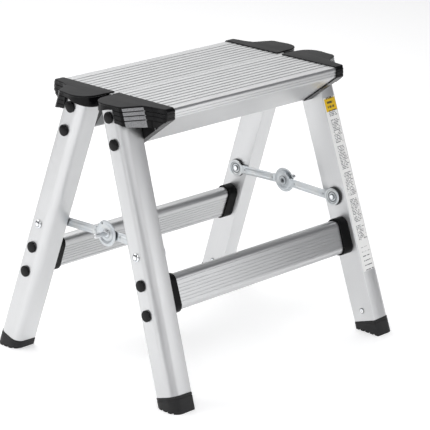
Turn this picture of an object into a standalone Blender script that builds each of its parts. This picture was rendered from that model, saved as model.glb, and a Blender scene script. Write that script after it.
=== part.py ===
"""Folding double-sided step stool.

Two mirrored halves, each a platform extrusion on two splayed legs, turn on a hinge under the middle of the
platform.  A folding stay at each end holds them apart.  Metres, +Z up.  The long side of the platform lies
along X, the front of the stool faces -Y, and the origin is on the floor under the middle of the platform.
"""

import math

import bmesh
import bpy
from mathutils import Matrix, Vector

# ---------------------------------------------------------------- driving dimensions (metres)
GAP = 0.0003              # space between two pieces that touch
SLANT_GAP = 0.0002        # more space where a stay's pivot isn't quite square to its leg

# legs: D-shaped tubes with the flat side facing the middle of the stool
SPLAY = 0.3318            # outward run of a leg per metre of height, seen from the end
LEAN = 0.0393             # inward run of a leg's inner face per metre of height, seen from the front
LEG_FOOT_X = 0.2033       # inner face of a leg at the floor
LEG_FOOT_Y = 0.17295      # centre line of a leg at the floor
LEG_WIDTH = 0.0417        # across the flat side
LEG_DEPTH = 0.038         # flat side to crown
LEG_CORNER = 0.014        # radius of the two outer corners
LEG_WALL = 0.0018
LEG_TOP_Z = 0.416         # the tube is cut off level here, under the cap
TUBE_START = 0.0190       # end of the tube above the floor, along the leg

# platform: an open aluminium profile for each half
TOP_Z = 0.420
PLATE = 0.0022            # thickness of the profile
HALF_LENGTH = 0.184
TOP_EDGE_D = 0.110        # where the ribbed top meets the front bevel (D is the distance from the middle)
BEVEL_START = 0.0015      # flat left beyond that edge before the bevel turns down
FASCIA_D = 0.1155
FASCIA_TOP_Z = 0.4155
FASCIA_BOTTOM_Z = 0.4055
PANEL_END_D = 0.053
PANEL_END_Z = 0.3575
RIB_PITCH = 0.01084
RIB_COUNT = 9
RIB_GROOVE = 0.0020
RIB_DEPTH = 0.0010
RIB_GROOVE_FLOOR = 0.7    # width of a groove's floor over the width of its mouth

# hinge along the middle of the platform
HINGE_Z = 0.411
BEAD_R = 0.0045
BEAD_BORE_R = 0.0024
SOCKET_R = 0.0062
SOCKET_BORE_R = 0.0048
SOCKET_WEB_D = (0.0022, 0.0075)          # wall that hangs the socket from the rear half
NECK_D = (0.003, 0.0068, 0.0088)         # inner end of the bead's neck, and the wall that carries it
NECK_HALF = 0.001
HINGE_WEB_TOP = 0.008                    # both walls end this far above the hinge axis
MOUTH_ANGLES = (160, 236)                # opening of the socket that the neck swings in
MOUTH_REACH = 0.009
ROD_R = 0.0021
ROD_HEAD_R = 0.0038
ROD_HALF = 0.1845
ROD_HEAD = 0.0022

# moulded caps
CAP_X = 0.1725            # edge of the cap on the platform
CAP_SKIN = 0.0018         # cap material outside the platform profile
CAP_TOP_Z = TOP_Z + CAP_SKIN
CAP_START_D = 0.005       # the two caps of an end stop this far from the middle
CAP_WEDGE_D = (0.0125, 0.0495)           # inner side of the cap's body, at its top and at its tip
CAP_WEDGE_Z = 0.4085
SKIRT_START = 0.008       # the skirt's outline starts this far outside the edge of the cap
SKIRT_END_D = (0.0055, 0.1168)
SKIRT_INNER_X = 0.1868    # inside of this the cap's body carries on alone
CAP_PLATE_Z = 0.4188      # underside of the cap over the leg
SKIRT_WALL = 0.0020
LOBE_SKIRT_Z = (0.4025, 0.4136)          # lower edge of the skirt, rising between these D values
LOBE_SKIRT_D = (0.0, 0.040)
NOTCH_Z = 0.4152          # the edge's highest point, beside the block, clear of the upper rivet
BLOCK_SIDE_D = (0.0487, 0.0531)          # side of the deep block toward the notch, at its top and at its bottom
BLOCK_LOW_Z = (0.3963, 0.3921)           # lower edge of the block, at the two D values
BLOCK_LOW_D = (0.0615, 0.0863)
BLOCK_RAMP_D = (0.0525, 0.0605, 0.0785, 0.105)    # the block leans with the leg between these
SKIRT_BASE_Z = 0.385      # the skirt is made down to here, then cut along its lower edge
# outline of the cap over the leg top, from the middle of the stool outward (X, D)
LOBE = [
    (0.190, 0.0058), (0.205, 0.0060), (0.2165, 0.0085), (0.2255, 0.0150), (0.2303, 0.0245), (0.2315, 0.034),
    (0.2300, 0.0445), (0.2288, 0.0525), (0.2285, 0.0605), (0.2255, 0.0655), (0.1985, 0.0785),
]
CAP_CORNER = [(0.1935, 0.092), (0.1905, 0.1125), (0.187, 0.1165)]

# feet
FOOT_PROUD = 0.0006
FOOT_PLUG = 0.024
FOOT_GROOVES = 4
FOOT_GROOVE_PITCH = 0.0095
FOOT_GROOVE = 0.003
FOOT_GROOVE_DEPTH = 0.002
SOLE_SHIFT = 0.0008       # the sole's middle lies this much nearer the middle of the stool
SOLE_CUT = -0.02          # the wedge is made this long, then cut off at the floor

# rungs and their collars
RUNG_Z = 0.1507
RUNG_HEIGHT = 0.053
RUNG_THICKNESS = 0.0215
RUNG_CORNER = 0.0095
RUNG_WALL = 0.0018
RUNG_PORT_R = 0.0031      # screw ports near the top and bottom of the rung
COLLAR_PROUD = 0.0026
COLLAR_LENGTH = 0.0195

# fasteners: heights of the rivets on the centre line of a leg
CAP_RIVET_Z = (0.400, 0.363)
RUNG_RIVET_Z = (0.1712, 0.1302)
RIVET_HEAD_R = 0.0085
RIVET_HEAD = 0.0038
RIVET_R = 0.0022
CAP_RIVET_TAIL = 0.0033
RUNG_RIVET_TAIL = 0.012
STAY_HEAD_R = 0.0065
STAY_HEAD = 0.003
STAY_PIN_R = 0.003
STAY_TAIL_R = 0.0045
STAY_TAIL = 0.0016
FOOT_RIVET_ABOVE_TUBE_END = 0.0165
FOOT_RIVET_HEAD_R = 0.0045
FOOT_RIVET_HEAD = 0.0012
FOOT_RIVET_R = 0.0016
FOOT_RIVET_TAIL = 0.009

# folding stays
STAY_Z = 0.210
STAY_RISE = 0.003         # the middle joint stands this far above the line of the two end pivots
STAY_PLATE = 0.0015
STAY_EYE_R = 0.014
STAY_ARM = 0.0069         # half the width of an arm
STAY_STANDOFF = {1: 0.0023, -1: 0.0043}   # leg face to the plate: rear link outside, front link inside
STAY_DISC_R = {1: 0.0195, -1: 0.015}
SPACER_R = 0.0145
JOINT_HEAD_R = 0.007
JOINT_HEAD = 0.0012
JOINT_BORE_R = 0.0022
FINGER_PIN_R = 0.0037
FINGER_PIN = 0.0245

# label on the front right leg
LABEL_Z = (0.0915, 0.354)
LABEL_N = (0.0015, 0.0235)
LABEL_THICKNESS = 0.0004

SIDES = {"left": -1, "right": 1}
HALVES = {"front": -1, "rear": 1}

TILT = math.atan(SPLAY)
LEAN_RATIO = LEAN * math.cos(TILT)
SEGMENTS = 12
PAST = 0.01               # how far a cutter runs past what it cuts
FAR = 0.4                 # half the size of a cutter that is larger than the stool


# ---------------------------------------------------------------- scene helpers
def clear_scene():
    for obj in list(bpy.data.objects):
        bpy.data.objects.remove(obj, do_unlink=True)


def new_collection(name):
    collection = bpy.data.collections.new(name)
    bpy.context.scene.collection.children.link(collection)
    return collection


def make_material(name, colour, roughness, metallic):
    material = bpy.data.materials.new(name)
    material.use_nodes = True
    shader = material.node_tree.nodes["Principled BSDF"]
    shader.inputs["Base Color"].default_value = (*colour, 1.0)
    shader.inputs["Roughness"].default_value = roughness
    shader.inputs["Metallic"].default_value = metallic
    material.diffuse_color = (*colour, 1.0)
    return material


clear_scene()
PARTS = new_collection("step_stool")
CUTTERS = new_collection("cutters")
ALUMINIUM = make_material("aluminium", (0.72, 0.73, 0.74), 0.35, 1.0)
BLACK_PLASTIC = make_material("black_plastic", (0.02, 0.02, 0.022), 0.45, 0.0)
ZINC_STEEL = make_material("zinc_steel", (0.66, 0.69, 0.70), 0.3, 1.0)
LABEL_FILM = make_material("label_film", (0.85, 0.85, 0.83), 0.5, 0.0)


def add_empty(name, location, parent=None):
    empty = bpy.data.objects.new(name, None)
    empty.empty_display_size = 0.03
    PARTS.objects.link(empty)
    empty.parent = parent
    empty.location = Vector(location) - (parent.matrix_world.translation if parent else Vector())
    bpy.context.view_layer.update()
    return empty


def add_part(name, mesh, matrix, material, parent):
    """Names a piece, gives it its place in the world and hangs it on its body's empty."""
    obj = bpy.data.objects.new(name, mesh)
    PARTS.objects.link(obj)
    mesh.materials.clear()
    mesh.materials.append(material)
    mesh.shade_smooth()
    mesh.set_sharp_from_angle(angle=math.radians(35))
    obj.parent = parent
    obj.matrix_parent_inverse = parent.matrix_world.inverted()
    obj.matrix_world = matrix
    return obj


def add_cutter(name, mesh):
    obj = bpy.data.objects.new(name, mesh)
    CUTTERS.objects.link(obj)
    obj.hide_render = True
    obj.display_type = "WIRE"
    return obj


def combine(obj, tool_mesh, operation, name):
    """Adds a Boolean with a tool whose mesh is in the world's frame."""
    modifier = obj.modifiers.new(name, "BOOLEAN")
    modifier.solver = "EXACT"
    modifier.operation = operation
    modifier.object = add_cutter(f"{obj.name}_{name}", tool_mesh)


def evaluated_mesh(obj):
    """A welded mesh of what an object shows, in its own frame."""
    bpy.context.view_layer.update()
    graph = bpy.context.evaluated_depsgraph_get()
    mesh = bpy.data.meshes.new_from_object(obj.evaluated_get(graph))
    work = bmesh.new()
    work.from_mesh(mesh)
    bmesh.ops.remove_doubles(work, verts=work.verts, dist=0.00001)
    work.to_mesh(mesh)
    work.free()
    return mesh


# ---------------------------------------------------------------- shape helpers
def extruded(loops, low, high, frame=Matrix.Identity(4)):
    """A flat outline (first loop) with holes (other loops) in the frame's XY plane, extruded along its Z."""
    curve = bpy.data.curves.new("outline", "CURVE")
    curve.dimensions = "2D"
    curve.fill_mode = "BOTH"
    curve.extrude = (high - low) / 2
    for loop in loops:
        spline = curve.splines.new("POLY")
        spline.points.add(len(loop) - 1)
        for point, (x, y) in zip(spline.points, loop):
            point.co = (x, y, 0, 1)
        spline.use_cyclic_u = True
    holder = bpy.data.objects.new("outline", curve)
    bpy.context.scene.collection.objects.link(holder)
    mesh = evaluated_mesh(holder)
    bpy.data.objects.remove(holder, do_unlink=True)
    mesh.transform(frame @ Matrix.Translation((0, 0, (high + low) / 2)))
    return mesh


def turned(profile, steps=SEGMENTS):
    """A profile of (radius, height) points, from the top down its outer side, turned about Z."""
    line = bpy.data.meshes.new("profile")
    edges = [(i, i + 1) for i in range(len(profile) - 1)]
    line.from_pydata([(r, 0, z) for r, z in profile], edges, [])
    holder = bpy.data.objects.new("profile", line)
    bpy.context.scene.collection.objects.link(holder)
    screw = holder.modifiers.new("turn", "SCREW")
    screw.steps = steps
    screw.render_steps = steps
    screw.use_merge_vertices = True
    screw.merge_threshold = 0.00001
    mesh = evaluated_mesh(holder)
    bpy.data.objects.remove(holder, do_unlink=True)
    return mesh


def drill(holes):
    """One cutter mesh of cylinders along the Z axes of their frames: (frame, radius, low, high)."""
    work = bmesh.new()
    for frame, radius, low, high in holes:
        bmesh.ops.create_cone(
            work, cap_ends=True, segments=SEGMENTS, radius1=radius, radius2=radius, depth=high - low,
            matrix=frame @ Matrix.Translation((0, 0, (low + high) / 2)),
        )
    mesh = bpy.data.meshes.new("drill")
    work.to_mesh(mesh)
    work.free()
    return mesh


def block(low, high):
    """A box between two corners."""
    low, high = Vector(low), Vector(high)
    work = bmesh.new()
    size = Matrix.Diagonal((*(high - low), 1))
    bmesh.ops.create_cube(work, size=1, matrix=Matrix.Translation((low + high) / 2) @ size)
    mesh = bpy.data.meshes.new("block")
    work.to_mesh(mesh)
    work.free()
    return mesh


def joined(meshes):
    """Several closed shapes in one mesh, for a cutter."""
    work = bmesh.new()
    for mesh in meshes:
        work.from_mesh(mesh)
    result = bpy.data.meshes.new("joined")
    work.to_mesh(result)
    work.free()
    return result


def arc(cx, cy, radius, start, end, steps):
    """Points on an arc, angles in degrees."""
    angles = [math.radians(start + (end - start) * i / steps) for i in range(steps + 1)]
    return [(cx + radius * math.cos(a), cy + radius * math.sin(a)) for a in angles]


def circle(radius, points, cx=0.0, cy=0.0):
    return arc(cx, cy, radius, 0, 360, points)[:-1]


def offset_path(points, distance):
    """An open path moved sideways (to the left of its direction), with mitred corners."""
    directions = [
        (Vector(b) - Vector(a)).normalized() for a, b in zip(points[:-1], points[1:])
    ]
    moved = []
    for i, point in enumerate(points):
        before = directions[max(i - 1, 0)]
        after = directions[min(i, len(directions) - 1)]
        normal_a = Vector((-before.y, before.x))
        normal_b = Vector((-after.y, after.x))
        middle = (normal_a + normal_b).normalized()
        moved.append(tuple(Vector(point) + middle * distance / middle.dot(normal_a)))
    return moved


def flip_to(mesh, sx, sy):
    """A copy of a mesh of the rear right corner, mirrored to another corner."""
    copy = mesh.copy()
    copy.transform(Matrix.Diagonal((sx, sy, 1, 1)))
    if sx * sy < 0:
        copy.flip_normals()
    return copy


# ---------------------------------------------------------------- frames of reference
def basis(x_axis, y_axis, z_axis, origin):
    matrix = Matrix((x_axis, y_axis, z_axis)).transposed().to_4x4()
    matrix.translation = origin
    return matrix


ALONG_X = basis((0, 1, 0), (0, 0, 1), (1, 0, 0), (0, 0, 0))   # outline in Y and Z, extruded along X


def leg_axis(sx, sy):
    return Vector((-sx * LEAN_RATIO, -sy * math.sin(TILT), math.cos(TILT))).normalized()


def leg_frame(sx, sy, height=0.0):
    """X out through the leg from its inner face, Y across it, Z up along it; origin on the inner face."""
    up = leg_axis(sx, sy)
    outward = Vector((sx, -sy * LEAN_RATIO * math.sin(TILT), LEAN_RATIO * math.cos(TILT))).normalized()
    foot = Vector((sx * LEG_FOOT_X, sy * LEG_FOOT_Y, 0))
    return basis(outward, up.cross(outward), up, foot + up * (height / up.z))


def leg_face_x(d, z):
    """X of a leg's inner face at a distance d from the middle and a height z."""
    return LEG_FOOT_X + LEAN_RATIO * (math.sin(TILT) * (d - LEG_FOOT_Y) - math.cos(TILT) * z)


def across_leg(sx, sy, height):
    """Frame of a rivet through a leg: Z outward, origin on the inner face."""
    frame = leg_frame(sx, sy, height)
    return basis(frame.col[1].xyz, frame.col[2].xyz, frame.col[0].xyz, frame.translation)


def stay_axis(sx):
    return Vector((sx, 0, LEAN_RATIO * math.cos(TILT))).normalized()


def stay_frame(sx, sy, lift=0.0, d=None):
    """Frame of a stay's pivot: Z outward, X along +Y or -Y, Y up; origin in the plane of the legs' faces."""
    outward = stay_axis(sx)
    up = Vector((-sx * outward.z, 0, abs(outward.x)))
    leg = leg_frame(sx, sy, STAY_Z).translation
    origin = Vector((leg.x, sy * d if d is not None else leg.y, leg.z)) + up * lift
    return basis(up.cross(outward), up, outward, origin)


# ---------------------------------------------------------------- legs and feet
def leg_outline(inset=0.0, corner=LEG_CORNER):
    """D section in the leg frame: X through the leg, Y across it."""
    near, far, half = inset, LEG_DEPTH - inset, LEG_WIDTH / 2 - inset
    radius = corner - inset
    outline = [(near, -half)]
    outline += arc(far - radius, radius - half, radius, -90, 0, 6)
    outline += arc(far - radius, half - radius, radius, 0, 90, 6)
    outline.append((near, half))
    return outline


def along_leg(height):
    return height / leg_axis(1, 1).z


def make_leg(name, sx, sy, parent):
    top = along_leg(LEG_TOP_Z)
    mesh = extruded([leg_outline(), leg_outline(LEG_WALL)], TUBE_START, top)
    frame = leg_frame(sx, sy)
    for vertex in mesh.vertices:
        if vertex.co.z > top / 2:
            vertex.co.z += (LEG_TOP_Z - (frame @ vertex.co).z) / frame.col[2].z
    leg = add_part(name, mesh, frame, ALUMINIUM, parent)
    through = (-PAST, LEG_DEPTH + PAST)
    holes = [
        (across_leg(sx, sy, z), RIVET_R + GAP, *through) for z in CAP_RIVET_Z + RUNG_RIVET_Z
    ]
    holes.append((stay_frame(sx, sy), STAY_PIN_R + GAP, *through))
    holes.append((foot_rivet_frame(sx, sy), FOOT_RIVET_R + GAP, -PAST, LEG_DEPTH / 2))
    combine(leg, drill(holes), "DIFFERENCE", "rivet_holes")


def foot_rivet_frame(sx, sy):
    height = (TUBE_START + FOOT_RIVET_ABOVE_TUBE_END) * leg_axis(sx, sy).z
    return across_leg(sx, sy, height)


def make_foot(name, sx, sy, parent):
    """A wedge with a plug that fills the end of the tube."""
    sole = extruded([leg_outline(-FOOT_PROUD)], SOLE_CUT, TUBE_START - GAP)
    foot = add_part(name, sole, leg_frame(sx, sy), BLACK_PLASTIC, parent)
    plug = extruded(
        [leg_outline(LEG_WALL + GAP)], TUBE_START / 2, TUBE_START + FOOT_PLUG, leg_frame(sx, sy)
    )
    combine(foot, plug, "UNION", "plug")
    floor = block((-FAR, -FAR, -FAR), (FAR, FAR, 0))
    combine(foot, floor, "DIFFERENCE", "floor_cut")
    grooves = []
    for i in range(FOOT_GROOVES):
        y = sy * (LEG_FOOT_Y - SOLE_SHIFT) + (i - (FOOT_GROOVES - 1) / 2) * FOOT_GROOVE_PITCH
        half = FOOT_GROOVE / 2
        grooves.append(block((-FAR, y - half, -PAST), (FAR, y + half, FOOT_GROOVE_DEPTH)))
    combine(foot, joined(grooves), "DIFFERENCE", "sole_grooves")
    hole = (foot_rivet_frame(sx, sy), FOOT_RIVET_R + GAP, -PAST, FOOT_RIVET_TAIL + 3 * GAP)
    combine(foot, drill([hole]), "DIFFERENCE", "rivet_hole")


# ---------------------------------------------------------------- platform and hinge
def profile_path():
    """Outer face of the profile, from the end of the ribbed top down the front to the panel's free edge."""
    bevel = arc(TOP_EDGE_D, FASCIA_TOP_Z, FASCIA_D - TOP_EDGE_D, 60, 0, 3)
    bevel[0] = (TOP_EDGE_D + BEVEL_START, TOP_Z)
    return bevel + [(FASCIA_D, FASCIA_BOTTOM_Z), (PANEL_END_D, PANEL_END_Z)]


def plate_outline(start, grow=0.0, ribbed=False):
    """Section of one platform half in (D, Z), without its hinge part."""
    outer = [(start, TOP_Z)]
    if ribbed:
        half = RIB_GROOVE / 2
        floor = half * RIB_GROOVE_FLOOR
        for i in range(1, RIB_COUNT + 1):
            d = i * RIB_PITCH
            outer += [(d - half, TOP_Z), (d - floor, TOP_Z - RIB_DEPTH)]
            outer += [(d + floor, TOP_Z - RIB_DEPTH), (d + half, TOP_Z)]
    outer += profile_path()
    plain = [(start, TOP_Z)] + profile_path()
    if grow:
        outer = offset_path(plain, grow)
    inner = offset_path(plain, -PLATE - grow)
    return outer + inner[::-1]


def mirrored(points):
    return [(-x, y) for x, y in points]


def make_platforms(bodies):
    along = (-HALF_LENGTH, HALF_LENGTH)
    axis = ALONG_X.copy()
    axis.translation = (0, 0, HINGE_Z)

    # rear half: a C-shaped socket under its inner edge
    rear = add_part(
        "platform_rear", extruded([plate_outline(GAP, ribbed=True)], *along, ALONG_X), Matrix.Identity(4),
        ALUMINIUM, bodies["rear"],
    )
    socket = extruded([circle(SOCKET_R, 24)], *along, axis)
    near, far = SOCKET_WEB_D
    web = extruded([[(near, 0), (far, 0), (far, HINGE_WEB_TOP), (near, HINGE_WEB_TOP)]], *along, axis)
    combine(rear, socket, "UNION", "socket")
    combine(rear, web, "UNION", "socket_web")
    past = (-HALF_LENGTH - PAST, HALF_LENGTH + PAST)
    bore = extruded([circle(SOCKET_BORE_R, 24)], *past, axis)
    mouth = extruded([[(0, 0)] + arc(0, 0, MOUTH_REACH, *MOUTH_ANGLES, 4)], *past, axis)
    combine(rear, bore, "DIFFERENCE", "socket_bore")
    combine(rear, mouth, "DIFFERENCE", "socket_mouth")

    # front half: a tubular bead on a neck that reaches into the socket
    front = add_part(
        "platform_front", extruded([mirrored(plate_outline(GAP, ribbed=True))], *along, ALONG_X),
        Matrix.Identity(4), ALUMINIUM, bodies["front"],
    )
    bead = extruded([circle(BEAD_R, 18)], *along, axis)
    tip, near, far = NECK_D
    neck = [(-tip, -NECK_HALF), (-tip, NECK_HALF), (-near, NECK_HALF), (-near, HINGE_WEB_TOP)]
    neck += [(-far, HINGE_WEB_TOP), (-far, -NECK_HALF)]
    combine(front, bead, "UNION", "bead")
    combine(front, extruded([neck], *along, axis), "UNION", "neck")
    rod_bore = extruded([circle(BEAD_BORE_R, SEGMENTS)], *past, axis)
    combine(front, rod_bore, "DIFFERENCE", "rod_bore")

    head = ROD_HALF + ROD_HEAD
    rod = turned([
        (0, head), (ROD_HEAD_R * 0.7, head), (ROD_HEAD_R, ROD_HALF + ROD_HEAD * 0.4), (ROD_HEAD_R, ROD_HALF),
        (ROD_R, ROD_HALF), (ROD_R, -ROD_HALF), (ROD_HEAD_R, -ROD_HALF),
        (ROD_HEAD_R, -ROD_HALF - ROD_HEAD * 0.4), (ROD_HEAD_R * 0.7, -head), (0, -head),
    ])
    add_part("hinge_rod", rod, axis, ZINC_STEEL, bodies["front"])


# ---------------------------------------------------------------- caps
def cap_body_outline():
    """Section of the cap's body in (D, Z): a skin round the platform profile, down to a point at the leg."""
    outer = offset_path([(CAP_START_D, TOP_Z)] + profile_path(), CAP_SKIN)
    under = TOP_Z - PLATE - GAP
    top_d, tip_d = CAP_WEDGE_D
    return outer + [(tip_d, PANEL_END_Z), (top_d, CAP_WEDGE_Z), (top_d, under), (CAP_START_D, under)]


def skirt_edge():
    """Everything under the lower edge of the skirt in (D, Z): lobe, notch and deep block."""
    low = SKIRT_BASE_Z - PAST
    return [
        (-PAST, low), (-PAST, LOBE_SKIRT_Z[0]), (LOBE_SKIRT_D[0], LOBE_SKIRT_Z[0]), (LOBE_SKIRT_D[1], LOBE_SKIRT_Z[1]),
        (BLOCK_SIDE_D[0], NOTCH_Z), (BLOCK_SIDE_D[1], BLOCK_LOW_Z[0]), (BLOCK_LOW_D[0], BLOCK_LOW_Z[0]),
        (BLOCK_LOW_D[1], BLOCK_LOW_Z[1]), (FAR, BLOCK_LOW_Z[1]), (FAR, low),
    ][::-1]


def lean_block(mesh):
    """Carry the deep block outward with the splay of the leg, going down from the cap's top."""
    start, full, hold, end = BLOCK_RAMP_D
    for vertex in mesh.vertices:
        d = vertex.co.y
        share = min(max(min((d - start) / (full - start), (end - d) / (end - hold)), 0.0), 1.0)
        vertex.co.y += share * SPLAY * (CAP_TOP_Z - vertex.co.z)
    work = bmesh.new()
    work.from_mesh(mesh)
    bmesh.ops.triangulate(work, faces=[face for face in work.faces if len(face.verts) == 4])
    work.to_mesh(mesh)
    work.free()
    return mesh


def cap_mesh():
    """The cap of the rear right corner."""
    body = extruded([cap_body_outline()], CAP_X, LEG_FOOT_X, ALONG_X)
    seat_ends(body, HALF_LENGTH)
    holder = bpy.data.objects.new("cap_work", body)
    bpy.context.scene.collection.objects.link(holder)

    tools = []

    def step(mesh, operation):
        modifier = holder.modifiers.new("step", "BOOLEAN")
        modifier.solver = "EXACT"
        modifier.operation = operation
        modifier.object = add_cutter("cap_work_tool", mesh)
        tools.append(modifier.object)

    # slot that takes the end of the platform profile
    slot = extruded([plate_outline(-PAST, grow=GAP)], CAP_X - PAST, HALF_LENGTH + GAP, ALONG_X)
    step(slot, "DIFFERENCE")

    # skirt round the top of the leg: solid outline, then the room for the leg
    start = CAP_X + SKIRT_START
    top = [(start, SKIRT_END_D[0])] + LOBE + CAP_CORNER + [(start, SKIRT_END_D[1])]
    skirt = bpy.data.objects.new("skirt_work", lean_block(extruded([top], SKIRT_BASE_Z, CAP_TOP_Z)))
    bpy.context.scene.collection.objects.link(skirt)
    room_edge = offset_path(LOBE, SKIRT_WALL)
    room = [(CAP_X, room_edge[0][1])] + room_edge + [(CAP_X, room_edge[-1][1])]
    corner, tip = offset_path(profile_path()[-2:], CAP_SKIN)
    below = SKIRT_BASE_Z - PAST
    cuts = [
        lean_block(extruded([room], below, CAP_PLATE_Z)),
        extruded([[corner, tip, (FAR, tip[1])]], CAP_X - PAST, FAR, ALONG_X),
        extruded([skirt_edge()], CAP_X - PAST, FAR, ALONG_X),
        block((0, -PAST, below), (SKIRT_INNER_X, FAR, CAP_PLATE_Z)),
        slot.copy(),
    ]
    for i, cut in enumerate(cuts):
        modifier = skirt.modifiers.new(f"cut_{i}", "BOOLEAN")
        modifier.solver = "EXACT"
        modifier.operation = "DIFFERENCE"
        modifier.object = add_cutter("cap_work_tool", cut)
        tools.append(modifier.object)
    step(evaluated_mesh(skirt), "UNION")
    rivet_holes = [
        (across_leg(1, 1, z), RIVET_R + GAP, -CAP_RIVET_TAIL - 3 * GAP, 2 * PAST) for z in CAP_RIVET_Z
    ]
    step(drill(rivet_holes), "DIFFERENCE")

    mesh = evaluated_mesh(holder)
    for obj in tools + [skirt, holder]:
        bpy.data.objects.remove(obj, do_unlink=True)
    return mesh


# ---------------------------------------------------------------- rungs
def rung_outline(grow=0.0):
    half_t = RUNG_THICKNESS / 2 + grow
    half_h = RUNG_HEIGHT / 2 + grow
    radius = RUNG_CORNER + grow
    x, y = half_t - radius, half_h - radius
    outline = arc(x, y, radius, 0, 90, 4) + arc(-x, y, radius, 90, 180, 4)
    return outline + arc(-x, -y, radius, 180, 270, 4) + arc(x, -y, radius, 270, 360, 4)


def rung_frame(sy):
    """Outline plane across the rung, extruded along X."""
    across = (0, math.cos(TILT), sy * math.sin(TILT))
    up = (0, -sy * math.sin(TILT), math.cos(TILT))
    return basis(across, up, (1, 0, 0), (0, sy * (LEG_FOOT_Y - SPLAY * RUNG_Z), RUNG_Z))


def make_rung(half, sy, parent):
    frame = rung_frame(sy)
    face = leg_face_x(LEG_FOOT_Y - SPLAY * RUNG_Z, RUNG_Z)
    port_v = (RUNG_RIVET_Z[0] - RUNG_RIVET_Z[1]) / 2 / math.cos(TILT)
    ports = [circle(RUNG_PORT_R, SEGMENTS, 0, v) for v in (-port_v, port_v)]
    web_v = port_v - RUNG_PORT_R - RUNG_WALL
    half_t = RUNG_THICKNESS / 2 - RUNG_WALL
    channel = [(-half_t, -web_v), (half_t, -web_v), (half_t, web_v), (-half_t, web_v)]
    rung = extruded([rung_outline(), channel] + ports, -face, face, frame)
    seat_ends(rung, face / 2)
    add_part(f"rung_{half}", rung, Matrix.Identity(4), ALUMINIUM, parent)
    for side, sx in SIDES.items():
        sleeve = [rung_outline(COLLAR_PROUD), rung_outline(GAP)]
        ends = sorted((sx * face, sx * (face - COLLAR_LENGTH)))
        collar = extruded(sleeve, *ends, frame)
        seat_ends(collar, face - COLLAR_LENGTH / 2)
        add_part(f"rung_collar_{half}_{side}", collar, Matrix.Identity(4), BLACK_PLASTIC, parent)


def seat_ends(mesh, beyond):
    """Moves the end faces past a distance from the middle onto the legs' inner faces, less the gap."""
    for vertex in mesh.vertices:
        if abs(vertex.co.x) > beyond:
            face = leg_face_x(abs(vertex.co.y), vertex.co.z) - GAP
            vertex.co.x = math.copysign(face, vertex.co.x)


# ---------------------------------------------------------------- rivets
def headed_pin(head_r, head, base, pin_r, tail, tail_r=0.0, tail_head=0.0):
    """A domed head above base, a pin down to tail and, if it has one, a flat riveted head below it."""
    dome = [
        (head_r * math.sin(a), base + head * (0.25 + 0.75 * math.cos(a)))
        for a in (math.radians(90 * i / 3) for i in range(4))
    ]
    profile = dome + [(head_r, base), (pin_r, base), (pin_r, tail)]
    if tail_r:
        profile += [(tail_r, tail), (tail_r, tail - tail_head * 0.5), (tail_r * 0.6, tail - tail_head)]
        profile.append((0, tail - tail_head))
    else:
        profile.append((0, tail))
    return turned(profile)


def make_rivets(half, sy, parent, meshes):
    for side, sx in SIDES.items():
        corner = f"{half}_{side}"
        for level, z in zip(("upper", "lower"), CAP_RIVET_Z):
            frame = across_leg(sx, sy, z)
            add_part(f"cap_rivet_{level}_{corner}", meshes["cap"], frame, BLACK_PLASTIC, parent)
        for level, z in zip(("upper", "lower"), RUNG_RIVET_Z):
            frame = across_leg(sx, sy, z)
            add_part(f"rung_rivet_{level}_{corner}", meshes["rung"], frame, BLACK_PLASTIC, parent)
        frame = stay_frame(sx, sy)
        add_part(f"stay_rivet_{corner}", meshes[f"stay_{half}"], frame, ZINC_STEEL, parent)
        frame = foot_rivet_frame(sx, sy) @ Matrix.Rotation(math.pi, 4, "X")
        add_part(f"foot_rivet_{corner}", meshes["foot"], frame, ZINC_STEEL, parent)


def rivet_meshes():
    base = LEG_DEPTH + GAP
    meshes = {
        "cap": headed_pin(RIVET_HEAD_R, RIVET_HEAD, base, RIVET_R, -CAP_RIVET_TAIL),
        "rung": headed_pin(RIVET_HEAD_R, RIVET_HEAD, base, RIVET_R, -RUNG_RIVET_TAIL),
        "foot": headed_pin(FOOT_RIVET_HEAD_R, FOOT_RIVET_HEAD, GAP, FOOT_RIVET_R, -FOOT_RIVET_TAIL),
    }
    for half, sy in HALVES.items():
        tail = -STAY_STANDOFF[sy] - STAY_PLATE - GAP
        meshes[f"stay_{half}"] = headed_pin(
            STAY_HEAD_R, STAY_HEAD, base + SLANT_GAP, STAY_PIN_R, tail, STAY_TAIL_R, STAY_TAIL
        )
    return meshes


# ---------------------------------------------------------------- folding stays
def link_outline(length, disc_r):
    """An eye at the origin and a disc at (length, 0), joined by a straight arm."""
    eye = math.degrees(math.asin(STAY_ARM / STAY_EYE_R))
    disc = math.degrees(math.asin(STAY_ARM / disc_r))
    outline = arc(0, 0, STAY_EYE_R, eye, 360 - eye, 18)
    return outline + arc(length, 0, disc_r, disc - 180, 180 - disc, 20)


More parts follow.
